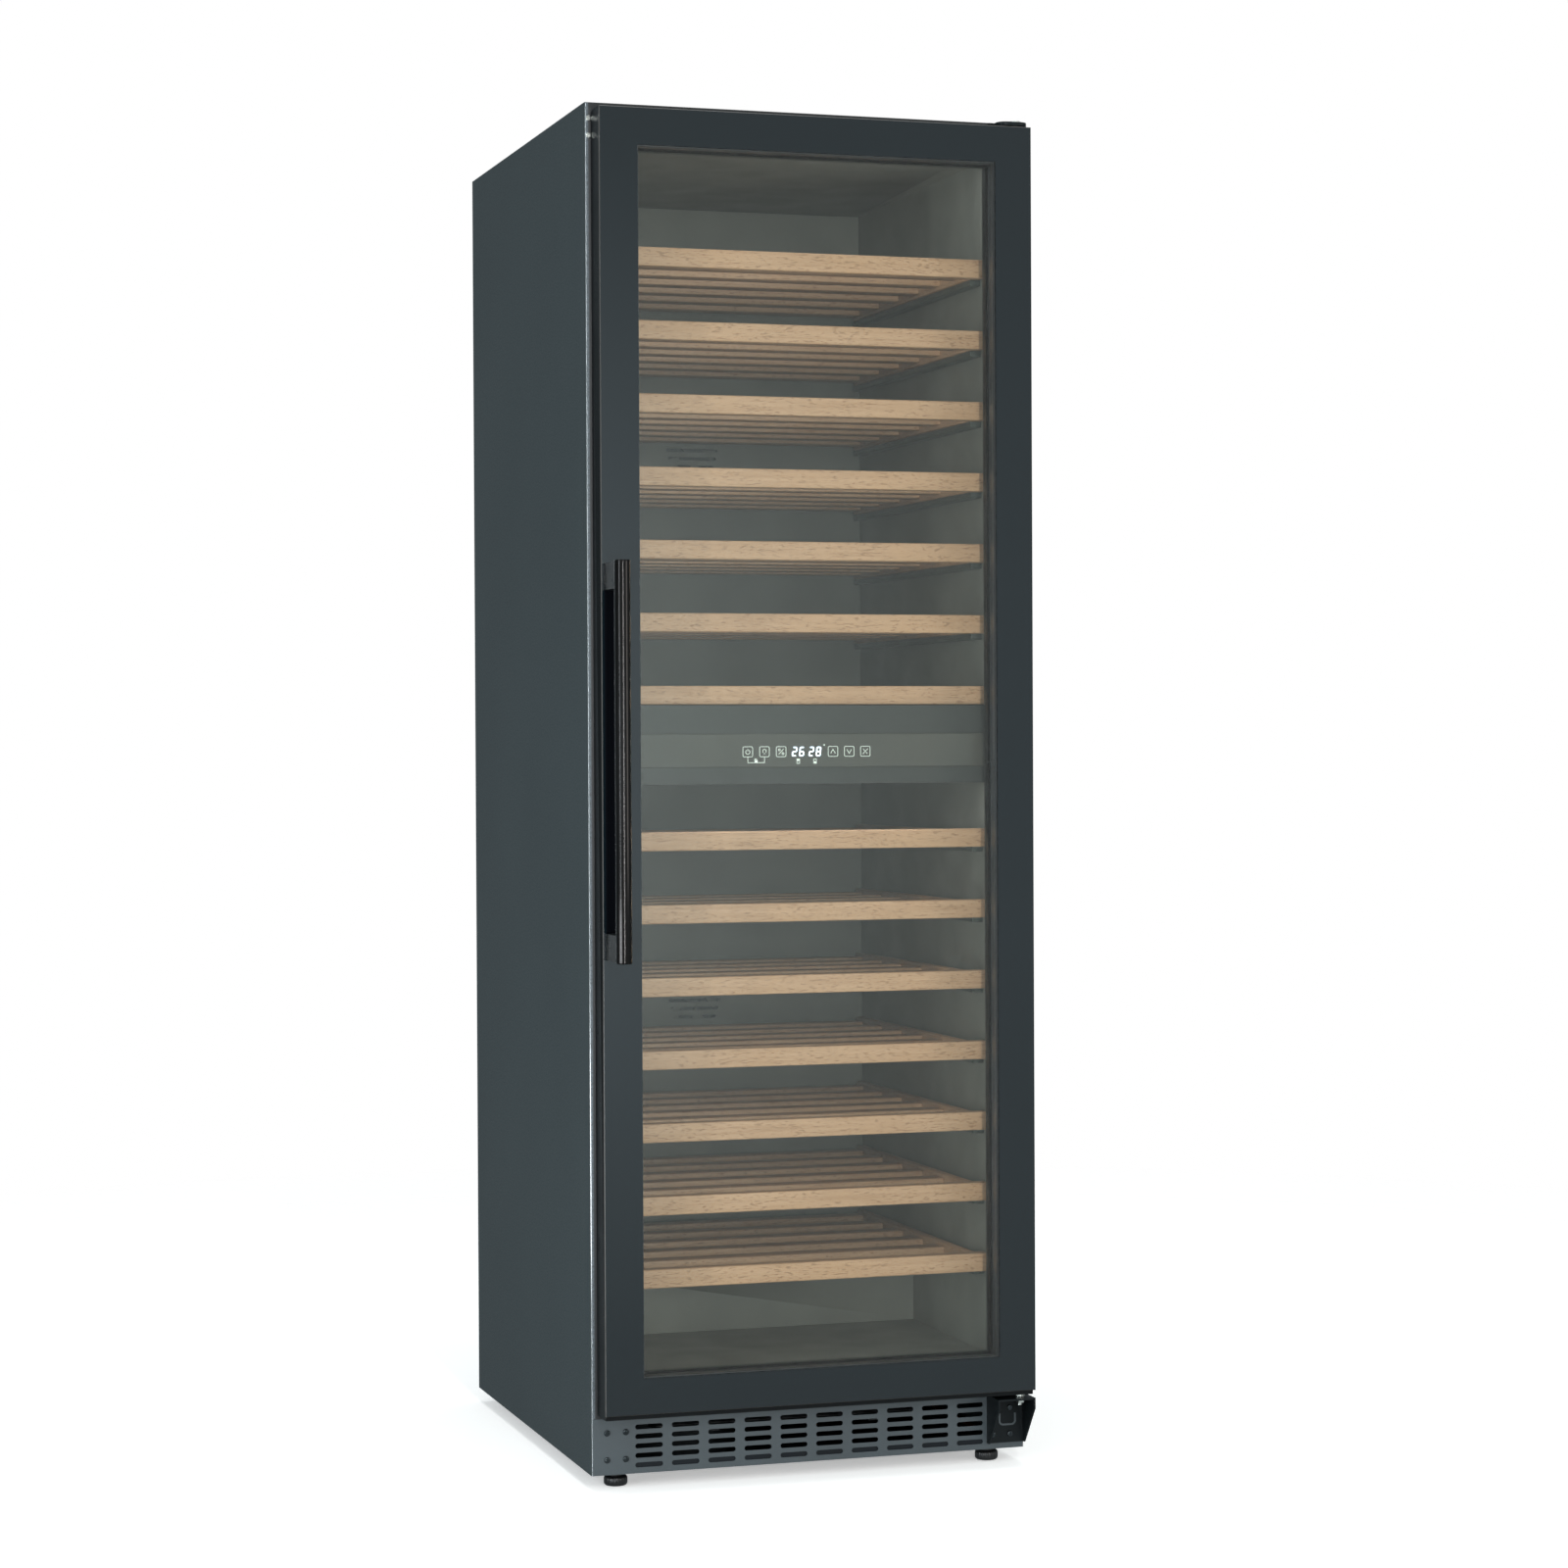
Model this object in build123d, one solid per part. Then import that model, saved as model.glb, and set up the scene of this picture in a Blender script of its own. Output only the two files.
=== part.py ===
from build123d import *
import os

# Free-standing dual-zone wine cooler, in millimetres. +Z is up, the door faces -Y.
# The origin is on the floor, under the middle of the whole object, handle included.

# Shared small values: how far a cutter passes its target, the play between fitted sheets,
# and the reach of an edge selector
PAST = 1.0
PLAY = 0.1
NEAR = 0.1

# Outside of the cabinet
HALF_WIDTH = 297.5
TOP = 1783.4
UNDERSIDE = 20.0
FRONT = -278.0
BACK = 385.0
SHEET = 1.0
FLANGE_WIDTH = 36.0
FLANGE_HEIGHT = 43.4
FLANGE_BOTTOM = 93.5
CORNER_RADIUS = 0.9
PLUG_HEIGHTS = (1763.0, 1741.0)
PLUG_STEM = 2.0
PLUG_HEAD = 3.4
PLUG_HEAD_HEIGHT = 1.2
PLUG_ROUND = 0.5
PLUG_X = -(HALF_WIDTH - 5.0)

# Inside of the cabinet
LINER_HALF = 259.5
LINER_SHEET = 2.0
CEILING = 1738.0
FLOOR = 142.0
LINER_BACK = FRONT + 590.0
STEP_FRONT = FRONT + 330.0
STEP_TOP = 236.0
BAY_TOP = 100.0
COMPARTMENT_FRONT = FRONT + 371.0
COMPARTMENT_TOP = 200.0
DIVIDER_BOTTOM = 908.0
DIVIDER_TOP = 1011.0
DIVIDER_SHEET = 2.5
FASCIA_BOTTOM = 930.0
FASCIA_TOP = 974.0
FASCIA_FRONT = FRONT + 8.0
FASCIA_SHEET = 4.0
FASCIA_ROUND = 1.5
FASCIA_PLAY = 1.0
DIVIDER_PLAY = 0.2
BOARD_DEPTH = 14.0
BOARD_HALF = 88.0
BOARD_HALF_HEIGHT = 12.0
BOARD_WINDOW = 95.0
BOARD_SHEET = 1.6
DIGIT_DEPTH = 6.0
DIGIT_HALF = 9.0
DIGIT_PLACES = (-11.0, 11.0)
CHIP_HALF = 8.0
CHIP_DEPTH = 2.4
CHIP_PLACES = (-55.0, 45.0)
DUCT_FRONT = FRONT + 545.0
DUCT_SHEET = 2.0
DUCT_PLAY = 2.0
GRILLE_STEP = 12.0
GRILLE_LONGEST = 84.0
GRILLE_TAPER = 6.0
GRILLE_SLOT = 5.0
RETURN_RISE = 30.0
RETURN_STEP = 50.0
RETURN_LENGTH = 36.0
RETURN_SLOT = 6.0
LAMP_HALF = 230.0
LAMP_FRONT = FRONT + 15.5
LAMP_BACK = FRONT + 28.0
LAMP_HEIGHT = 7.0

# Shelves
SHELF_PITCH = 94.65
SHELVES_PER_ZONE = 7
UPPER_SHELF_TOP = 1604.5
LOWER_SHELF_TOP = 846.5
SHELF_HALF = 256.0
SHELF_FRONT = FRONT + 20.0
SHELF_BACK = FRONT + 524.0
STRIP_HEIGHT = 24.5
STRIP_DEPTH = 20.0
STRIP_ROUND = 1.5
SIDE_BAR_INNER = 241.0
SIDE_BAR_OUTER = 252.5
SIDE_BAR_LIFT = 1.0
SIDE_BAR_DROP = 4.0
SLAT_START = 26.0
SLAT_DROP = 9.0
SLAT_HEIGHT = 10.0
SLAT_DEPTH = 32.0
SLATS = 6
RAIL_INNER = 244.0
RAIL_HEIGHT = 8.0
RAIL_FRONT = SHELF_FRONT + STRIP_DEPTH + 4.0
RAIL_BACK = SHELF_BACK + 8.0
SLIDE_GAP = 0.3

# Door
DOOR_LEFT = -290.0
DOOR_RIGHT = 297.5
DOOR_BOTTOM = 98.6
DOOR_TOP = 1772.0
DOOR_FRONT = FRONT - 44.7
DOOR_BACK = FRONT - 6.0
GLASS = 4.0
GLASS_CHAMFER = 0.6
WINDOW_LEFT = -239.5
WINDOW_RIGHT = 247.0
WINDOW_BOTTOM = 150.0
WINDOW_TOP = 1724.6
INNER_GLASS_FRONT = FRONT - 22.0
INNER_LIP = 4.0
SPACER_SHEET = 2.0
GLASS_LIP = 5.0
CORNER_STEP = 4.0
GASKET_WIDTH = 16.0
GASKET_GAP = 0.4
GASKET_LEFT = -281.0
GASKET_RIGHT = 281.0
GASKET_BOTTOM = 118.0
GASKET_TOP = 1758.0

# Handle
HANDLE_X = -276.7
HANDLE_Y = FRONT - 96.75
HANDLE_RADIUS = 10.25
HANDLE_BOTTOM = 684.0
HANDLE_TOP = 1193.0
POST_HEIGHT = 34.0
POST_LEFT = -286.5
POST_RIGHT = -270.0
POST_LOW = 686.0
POST_HIGH = 1157.0
SCREW_RADIUS = 2.5
SCREW_HEAD = 4.5
SCREW_CLEARANCE = 0.1
SCREW_GRIP = 20.0
SCREW_HEAD_HEIGHT = 4.0
HEAD_RECESS = 6.0
HEAD_PLAY = 0.5
HANDLE_CHAMFER = 0.8

# Hinges
HINGE_X = 282.0
HINGE_Y = FRONT - 26.0
PIN_RADIUS = 4.0
PIN_CLEARANCE = 0.05
PIN_REACH = 18.0
PIN_HEAD = 7.0
PIN_HEAD_HEIGHT = 3.0
PIN_TAIL = 11.0
NUT_HEIGHT = 5.0
WASHER_HEIGHT = 4.5
LEG_BOTTOM = 1774.0
LEG_TOP = 1779.0
LEG_ROOT = 254.0
LEG_LENGTH = 42.0
LEG_ROUND = 13.0
LEG_SETBACK = 1.5
ROOT_SHEET = 3.0
ROOT_DROP = 0.4
BRACKET_LEFT = 245.0
BRACKET_BOTTOM = 28.0
BRACKET_TOP = 93.0
BRACKET_SHEET = 2.5
BRACKET_REACH = 44.0
GUSSET_TOE = 4.0
GUSSET_NOSE = 14.0

# Kick grille
GRILLE_HALF = 295.5
GRILLE_TOP = 93.0
GRILLE_SHEET = 1.2
SLOT_LENGTH = 37.0
SLOT_HEIGHT = 6.4
SLOT_COLUMNS = 10
SLOT_ROWS = 5
SLOT_PITCH_X = 49.1
SLOT_PITCH_Z = 12.3
SLOT_LOWEST = 30.7
PANEL_SCREW_RADIUS = 2.0
PANEL_SCREW_HEAD = 4.0
PANEL_SCREW_HEIGHT = 2.2
PANEL_SCREW_ROUND = 1.2
PANEL_SCREW_END = FRONT + 9.0
CROSS_REACH = 2.2
CROSS_HALF_WIDTH = 0.4
CROSS_DEPTH = 1.0
SCREW_NEAR = 252.0
SPARE_HOLE_X = SCREW_NEAR + 6.0
SPARE_HOLE_RADIUS = 2.6
SCREW_FAR = 277.0
SCREW_LOW = 39.5
SCREW_HIGH = 74.5

# Base, feet and rollers
PAN_SHEET = 1.5
PAN_LIP = 12.0
PAN_FRONT = FRONT + 1.6
PAN_BACK = BACK - SHEET
PAN_HALF = HALF_WIDTH - SHEET - PLAY
FOOT_X = 257.0
FOOT_Y = FRONT + 34.0
FOOT_RADIUS = 15.5
FOOT_HEIGHT = 14.0
FOOT_NECK = 11.5
STEM_RADIUS = 4.0
STEM_LENGTH = 26.0
GROOVES = 24
GROOVE_RADIUS = 1.1
GROOVE_OFFSET = 0.3
ROLLER_X = 262.0
ROLLER_Y = BACK - 40.0
ROLLER_RADIUS = 15.0
ROLLER_WIDTH = 14.0
WHEEL_ROUND = 1.5
CHEEK_HALF = 16.0
CHEEK_BOTTOM = 8.0
CHEEK_TOP = 37.0
CUTOUT_HALF = 18.0
TAB = 9.0
AXLE_RADIUS = 3.0
CHEEK = 1.5
CHEEK_GAP = 1.0

# Vents and inlet in the back
VENT_ROWS = 8
VENT_COLUMNS = 5
VENT_LEFT = -200.0
VENT_PITCH_X = 62.0
VENT_LOWEST = 60.0
VENT_PITCH_Z = 15.0
VENT_LENGTH = 46.0
VENT_HEIGHT = 6.0
INLET_X = 225.0
INLET_Z = 78.0
INLET_HALF_WIDTH = 23.5
INLET_HALF_HEIGHT = 13.5
INLET_PLAY = 0.5
INLET_DEPTH = 26.0
INLET_FLOOR = 6.0
RECESS_HALF_WIDTH = 13.0
RECESS_HALF_HEIGHT = 9.0
INLET_BLADES = ((-7.0, -2.0), (0.0, 2.0), (7.0, -2.0))
BLADE_HALF_WIDTH = 1.0
BLADE_HALF_HEIGHT = 2.0
BLADE_SHORT = 4.0

# Machinery
COLD_PLATE_BOTTOMS = (1060.0, 290.0)
COLD_PLATE_HALF = 200.0
COLD_PLATE_HEIGHT = 240.0
COLD_PLATE_SHEET = 1.5
COLD_PLATE_GAP = 2.0
CHANNELS = 8
CHANNEL_HALF = 185.0
CHANNEL_START = 20.0
CHANNEL_PITCH = 27.0
CHANNEL_HEIGHT = 8.0
CHANNEL_RISE = 2.5
HUB_SHARE = 0.36
BLADE_ROOT_SHARE = 0.32
BLADE_TIP_GAP = 1.0
BLADE_CHORD_SHARE = 1.25
BLADE_PITCH = 32.0
BLADE_SHEET = 1.6
SHAFT_RADIUS = 2.0
SHAFT_SHARE = 0.4
RING_WALL = 5.0
RING_EXTRA = 14.0
RING_SETBACK = 5.0
MOTOR_SHARE = 0.32
MOTOR_DEPTH = 8.0
MOTOR_GAP = 2.0
ARMS = 3
ARM_START = 30.0
ARM_WIDTH = 8.0
ARM_SHEET = 4.0
ARM_OVERLAP = 2.0
FAN_RADIUS = 44.0
FAN_RING = 48.0
FAN_DEPTH = 16.0
FAN_Y = FRONT + 562.0
UPPER_FAN_Z = 1400.0
LOWER_FAN_Z = 600.0
CONDENSER_FAN_RADIUS = 60.0
CONDENSER_FAN_RING = 64.0
CONDENSER_FAN_X = -130.0
CONDENSER_FAN_Y = FRONT + 400.0
CONDENSER_FAN_Z = 104.0
COMPRESSOR_X = 90.0
COMPRESSOR_Y = FRONT + 530.0
MOUNT_HEIGHT = 14.0
COMPRESSOR_RADIUS = 70.0
COMPRESSOR_HEIGHT = 118.0
COMPRESSOR_DOME = 32.0
FOOT_PLATE_X = 107.0
FOOT_PLATE_Y = 67.0
FOOT_PLATE_SHEET = 3.0
MOUNT_X = 95.0
MOUNT_Y = 55.0
MOUNT_RADIUS = 10.0
TERMINALS_NEAR = 55.0
TERMINALS_FAR = 92.0
TERMINALS_HALF = 24.0
TERMINALS_LOW = 30.0
TERMINALS_HIGH = 84.0
TRAY_HALF_X = 80.0
TRAY_HALF_Y = 60.0
TRAY_HEIGHT = 22.0
TRAY_WALL = 2.0
PIPE_RADIUS = 3.0
PIPE_BEND = 12.0
PIPE_RUN_Y = 100.0
DISCHARGE_X = COMPRESSOR_X + 40.0
DISCHARGE_REACH = 61.0
DISCHARGE_Z = 90.0
LOW_RUN_Z = 45.0
SIDE_RUN_X = 238.0
FRONT_RUN_Y = FRONT + 18.0
FRONT_RUN_END = 120.0
SUCTION_X = COMPRESSOR_X - 45.0
SUCTION_REACH = 57.0
SUCTION_RUN_Y = 90.0
SUCTION_Z = 80.0
DRIER_Z = 150.0
DRIER_LEFT = -40.0
DRIER_RIGHT = 20.0
DRIER_RADIUS = 9.0
DRIER_ROUND = 6.0
COIL_RUNS = 8
COIL_FRONT = FRONT + 70.0
COIL_PITCH = 26.0
COIL_LEFT = -190.0
COIL_RIGHT = 180.0
COIL_Z = 60.0
COIL_RADIUS = 2.5
STRAP_PLACES = (-120.0, 100.0)
STRAP_WIDTH = 12.0
STRAP_SHEET = 1.6
STRAP_OVERLAP = 8.0


def slab(x0, x1, y0, y1, z0, z1):
    """An upright box between two corners."""
    centre = Pos((x0 + x1) / 2, (y0 + y1) / 2, (z0 + z1) / 2)
    return centre * Box(x1 - x0, y1 - y0, z1 - z0)


def rod_z(x, y, z0, z1, radius):
    """A round bar along Z."""
    return Pos(x, y, (z0 + z1) / 2) * Cylinder(radius, z1 - z0)


def rod_y(x, z, y0, y1, radius):
    """A round bar along Y."""
    return Pos(x, (y0 + y1) / 2, z) * Rot(90, 0, 0) * Cylinder(radius, y1 - y0)


def rod_x(y, z, x0, x1, radius):
    """A round bar along X."""
    return Pos((x0 + x1) / 2, y, z) * Rot(0, 90, 0) * Cylinder(radius, x1 - x0)


def save(name, *solids):
    """Writes one node: a lone solid as it is, several as a group."""
    shape = solids[0] if len(solids) == 1 else Compound(children=list(solids))
    export_step(shape, f"parts/{name}.step")


def ring(x0, x1, z0, z1, width, y0, y1):
    """Four bars round an opening, butted at the corners."""
    return [
        slab(x0, x0 + width, y0, y1, z0, z1),
        slab(x1 - width, x1, y0, y1, z0, z1),
        slab(x0 + width, x1 - width, y0, y1, z0, z0 + width),
        slab(x0 + width, x1 - width, y0, y1, z1 - width, z1),
    ]


def slot_through_y(x, z, y0, y1, length, height):
    """A round-ended slot's cutter, long in X and cutting along Y."""
    plane = Plane(origin=(x, y0, z), x_dir=(1, 0, 0), z_dir=(0, 1, 0))
    return extrude(plane * SlotOverall(length, height), y1 - y0)


def front_flange_corner(side):
    """The wedge that mitres a side panel's flange against the top panel's."""
    outer = side * (HALF_WIDTH + PAST)
    inner = side * (HALF_WIDTH - FLANGE_WIDTH)
    slope = FLANGE_HEIGHT / FLANGE_WIDTH
    points = [
        (inner, TOP - FLANGE_HEIGHT),
        (outer, TOP + slope),
        (inner - side, TOP + slope),
        (inner - side, TOP - FLANGE_HEIGHT),
    ]
    face = Plane(origin=(0, FRONT - PAST, 0), x_dir=(1, 0, 0), z_dir=(0, -1, 0))
    return extrude(face * make_face(Polyline(points, close=True)), -(SHEET + 2 * PAST))


def side_panel(side):
    """A side sheet folded inwards at the front into the flange that the door seals on."""
    low, high = UNDERSIDE - PAST, TOP + PAST
    front, behind = FRONT - PAST, FRONT + SHEET + PAST
    outer = slab(0, HALF_WIDTH, FRONT, BACK, UNDERSIDE, TOP)
    inner = slab(-PAST, HALF_WIDTH - SHEET, FRONT + SHEET, BACK + PAST, low, high)
    window = slab(-PAST, HALF_WIDTH - FLANGE_WIDTH, front, behind, low, high)
    kick = slab(-PAST, HALF_WIDTH - SHEET, front, behind, low, FLANGE_BOTTOM)
    panel = outer - inner - window - kick
    corner = panel.edges().filter_by(Axis.Z).filter_by_position(Axis.X, HALF_WIDTH - NEAR, HALF_WIDTH)
    corner = corner.filter_by_position(Axis.Y, FRONT - NEAR, FRONT + NEAR)
    panel = fillet(corner, CORNER_RADIUS)
    if side < 0:
        panel = mirror(panel, Plane.YZ)
    panel = panel - front_flange_corner(side)
    if side < 0:
        for z in PLUG_HEIGHTS:
            panel = panel - rod_y(PLUG_X, z, front, behind, PLUG_STEM + SCREW_CLEARANCE)
    return panel


def hole_plugs():
    """Two push-in caps that close the spare hinge holes on the left."""
    caps = []
    face = FRONT - PLUG_HEAD_HEIGHT
    for z in PLUG_HEIGHTS:
        head = rod_y(PLUG_X, z, face, FRONT, PLUG_HEAD)
        head = fillet(head.edges().filter_by_position(Axis.Y, face - NEAR, face + NEAR), PLUG_ROUND)
        caps.append(head + rod_y(PLUG_X, z, FRONT, FRONT + SHEET, PLUG_STEM))
    return caps


def top_panel():
    """The top sheet, folded down at the front and mitred at both ends."""
    half = HALF_WIDTH - SHEET
    roof = slab(-half, half, FRONT, BACK, TOP - SHEET, TOP)
    flange = slab(-HALF_WIDTH, HALF_WIDTH, FRONT, FRONT + SHEET, TOP - FLANGE_HEIGHT, TOP)
    slope = FLANGE_HEIGHT / FLANGE_WIDTH
    points = [
        (HALF_WIDTH - FLANGE_WIDTH, TOP - FLANGE_HEIGHT),
        (HALF_WIDTH + PAST, TOP + slope),
        (HALF_WIDTH + PAST, TOP - FLANGE_HEIGHT - PAST),
        (HALF_WIDTH - FLANGE_WIDTH, TOP - FLANGE_HEIGHT - PAST),
    ]
    face = Plane(origin=(0, FRONT - PAST, 0), x_dir=(1, 0, 0), z_dir=(0, -1, 0))
    wedge = extrude(face * make_face(Polyline(points, close=True)), -(SHEET + 2 * PAST))
    flange = flange - wedge - mirror(wedge, Plane.YZ)
    return roof + flange


def rear_panel():
    """The back sheet, slotted where the machinery needs air."""
    half = PAN_HALF
    sheet = slab(-half, half, BACK - SHEET, BACK, UNDERSIDE + PAN_SHEET, TOP - SHEET - PLAY)
    for row in range(VENT_ROWS):
        for column in range(VENT_COLUMNS):
            x = VENT_LEFT + VENT_PITCH_X * column
            z = VENT_LOWEST + VENT_PITCH_Z * row
            cutter = slot_through_y(x, z, BACK - SHEET - PAST, BACK + PAST, VENT_LENGTH, VENT_HEIGHT)
            sheet = sheet - cutter
    reach_x, reach_z = INLET_HALF_WIDTH + INLET_PLAY, INLET_HALF_HEIGHT + INLET_PLAY
    hole = slab(
        INLET_X - reach_x,
        INLET_X + reach_x,
        BACK - SHEET - PAST,
        BACK + PAST,
        INLET_Z - reach_z,
        INLET_Z + reach_z,
    )
    return sheet - hole


def roller_cutout(side):
    """The opening in the base pan that a rear roller and its bracket reach through."""
    reach = ROLLER_WIDTH / 2 + CHEEK_GAP + CHEEK + 2 * PLAY
    x = side * ROLLER_X
    y0, y1 = ROLLER_Y - CUTOUT_HALF, ROLLER_Y + CUTOUT_HALF
    return slab(x - reach, x + reach, y0, y1, UNDERSIDE - PAST, UNDERSIDE + PAN_SHEET + PAST)


def base_frame():
    """The welded steel base: pan, front lip, front rail and the covers over the machinery."""
    pan = slab(-PAN_HALF, PAN_HALF, PAN_FRONT, PAN_BACK, UNDERSIDE, UNDERSIDE + PAN_SHEET)
    for side in (-1, 1):
        pan = pan - roller_cutout(side)
        low, high = UNDERSIDE - PAST, UNDERSIDE + PAN_SHEET + PAST
        pan = pan - rod_z(side * FOOT_X, FOOT_Y, low, high, STEM_RADIUS + PIN_CLEARANCE)
    deck = UNDERSIDE + PAN_SHEET
    lip = slab(-PAN_HALF, PAN_HALF, PAN_FRONT, PAN_FRONT + SHEET, deck, deck + PAN_LIP)
    rail_half = HALF_WIDTH - FLANGE_WIDTH
    rail = slab(-rail_half, rail_half, FRONT, FRONT + SHEET, FLANGE_BOTTOM, FLOOR - LINER_SHEET)
    low = slab(-PAN_HALF, PAN_HALF, FRONT + SHEET, COMPARTMENT_FRONT, BAY_TOP - SHEET, BAY_TOP)
    riser = slab(
        -PAN_HALF, PAN_HALF, COMPARTMENT_FRONT - SHEET, COMPARTMENT_FRONT, BAY_TOP, COMPARTMENT_TOP
    )
    high = slab(
        -PAN_HALF, PAN_HALF, COMPARTMENT_FRONT, PAN_BACK, COMPARTMENT_TOP - SHEET, COMPARTMENT_TOP
    )
    return [pan, lip, rail, low, riser, high]


def lamp_bar(base):
    """A lamp let into the surface at z = base, shining down into its zone."""
    return slab(-LAMP_HALF, LAMP_HALF, LAMP_FRONT, LAMP_BACK, base, base + LAMP_HEIGHT)


def liner():
    """The moulded inner box: walls, back, ceiling, floor and the step over the compressor."""
    outer = LINER_HALF + LINER_SHEET
    step_front = STEP_FRONT + LINER_SHEET
    step_base = STEP_TOP - LINER_SHEET
    walls = []
    for side in (-1, 1):
        x0, x1 = sorted((side * LINER_HALF, side * outer))
        walls.append(slab(x0, x1, FRONT, LINER_BACK, step_base, CEILING + LINER_SHEET))
        walls.append(slab(x0, x1, FRONT, step_front, FLOOR - LINER_SHEET, step_base))
    half = LINER_HALF
    back = slab(-half, half, LINER_BACK - LINER_SHEET, LINER_BACK, step_base, CEILING)
    ceiling = slab(-half, half, FRONT, LINER_BACK, CEILING, CEILING + LINER_SHEET)
    ceiling = ceiling - lamp_bar(CEILING)
    floor = slab(-half, half, FRONT, step_front, FLOOR - LINER_SHEET, FLOOR)
    riser = slab(-half, half, STEP_FRONT, step_front, FLOOR, step_base)
    step = slab(-half, half, STEP_FRONT, LINER_BACK - LINER_SHEET, step_base, STEP_TOP)
    return [*walls, back, ceiling, floor, riser, step]


def insulation_foam():
    """Foam between the shell and the liner, and the block that fills the zone divider."""
    half = PAN_HALF
    outer = LINER_HALF + LINER_SHEET
    body = slab(-half, half, FRONT + SHEET, BACK - SHEET, BAY_TOP, TOP - SHEET - PLAY)
    wide = half + PAST
    machine = slab(-wide, wide, COMPARTMENT_FRONT - SHEET, BACK, BAY_TOP - PAST, COMPARTMENT_TOP)
    body = body - machine
    step_base = STEP_TOP - LINER_SHEET
    cavity = slab(-outer, outer, FRONT, LINER_BACK, step_base, CEILING + LINER_SHEET)
    foot_well = slab(-outer, outer, FRONT, STEP_FRONT + LINER_SHEET, FLOOR - LINER_SHEET, step_base)
    body = body - cavity - foot_well - lamp_bar(CEILING)
    block = slab(
        -LINER_HALF + DIVIDER_PLAY,
        LINER_HALF - DIVIDER_PLAY,
        FASCIA_FRONT + FASCIA_SHEET + DIVIDER_SHEET + BOARD_DEPTH,
        LINER_BACK - LINER_SHEET,
        DIVIDER_BOTTOM + DIVIDER_SHEET,
        DIVIDER_TOP - DIVIDER_SHEET,
    )
    return [body, block]


def zone_divider():
    """The housing between the two zones: front, top and bottom walls in one folded moulding."""
    half = LINER_HALF - DIVIDER_PLAY
    front = FASCIA_FRONT + FASCIA_SHEET
    back = LINER_BACK - LINER_SHEET
    shell = slab(-half, half, front, back, DIVIDER_BOTTOM, DIVIDER_TOP)
    inside = slab(
        -half - PAST,
        half + PAST,
        front + DIVIDER_SHEET,
        back + PAST,
        DIVIDER_BOTTOM + DIVIDER_SHEET,
        DIVIDER_TOP - DIVIDER_SHEET,
    )
    middle = (FASCIA_BOTTOM + FASCIA_TOP) / 2
    window = slab(
        -BOARD_WINDOW,
        BOARD_WINDOW,
        front - PAST,
        front + DIVIDER_SHEET + PAST,
        middle - BOARD_HALF_HEIGHT - PAST,
        middle + BOARD_HALF_HEIGHT + PAST,
    )
    return shell - inside - window - lamp_bar(DIVIDER_BOTTOM)


def control_panel():
    """The touch strip on the divider's front, with rounded front edges."""
    half = LINER_HALF - FASCIA_PLAY
    strip = slab(-half, half, FASCIA_FRONT, FASCIA_FRONT + FASCIA_SHEET, FASCIA_BOTTOM, FASCIA_TOP)
    edges = strip.edges().filter_by(Axis.X)
    edges = edges.filter_by_position(Axis.Y, FASCIA_FRONT - NEAR, FASCIA_FRONT + NEAR)
    return fillet(edges, FASCIA_ROUND)


def control_board():
    """The circuit board behind the touch strip, with its digit blocks and chips."""
    front = FASCIA_FRONT + FASCIA_SHEET
    middle = (FASCIA_BOTTOM + FASCIA_TOP) / 2
    face = front + DIGIT_DEPTH
    rear = face + BOARD_SHEET
    tall = BOARD_HALF_HEIGHT
    board = slab(-BOARD_HALF, BOARD_HALF, face, rear, middle - tall, middle + tall)
    for x in DIGIT_PLACES:
        near, far = x - DIGIT_HALF, x + DIGIT_HALF
        board = board + slab(near, far, front + 2 * PLAY, face, middle - CHIP_HALF, middle + CHIP_HALF)
    for x in CHIP_PLACES:
        near, far = x - CHIP_HALF, x + CHIP_HALF
        board = board + slab(near, far, rear, rear + CHIP_DEPTH, middle - CHIP_HALF, middle + CHIP_HALF)
    return board


def led_bars():
    """One lamp at the top front of each zone: in the divider's underside and in the ceiling."""
    return [lamp_bar(DIVIDER_BOTTOM), lamp_bar(CEILING)]


def duct_cover(bottom, top, fan_z):
    """The panel in front of an evaporator, slotted for the fan and for the return air."""
    half = LINER_HALF - DUCT_PLAY
    rear = DUCT_FRONT + DUCT_SHEET
    sheet = slab(-half, half, DUCT_FRONT, rear, bottom, top)
    for row in range(-3, 4):
        length = GRILLE_LONGEST - GRILLE_TAPER * abs(row)
        z = fan_z + GRILLE_STEP * row
        sheet = sheet - slot_through_y(0, z, DUCT_FRONT - PAST, rear + PAST, length, GRILLE_SLOT)
    for column in range(-4, 5):
        x, z = RETURN_STEP * column, bottom + RETURN_RISE
        cutter = slot_through_y(x, z, DUCT_FRONT - PAST, rear + PAST, RETURN_LENGTH, RETURN_SLOT)
        sheet = sheet - cutter
    return sheet


def evaporators():
    """A roll-bonded plate with raised channels behind each duct cover."""
    plates = []
    back = LINER_BACK - LINER_SHEET - COLD_PLATE_GAP
    face = back - COLD_PLATE_SHEET
    for low in COLD_PLATE_BOTTOMS:
        plate = slab(-COLD_PLATE_HALF, COLD_PLATE_HALF, face, back, low, low + COLD_PLATE_HEIGHT)
        for row in range(CHANNELS):
            z = low + CHANNEL_START + CHANNEL_PITCH * row
            channel = slab(-CHANNEL_HALF, CHANNEL_HALF, face - CHANNEL_RISE, face, z, z + CHANNEL_HEIGHT)
            plate = plate + channel
        plates.append(plate)
    return plates


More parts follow.
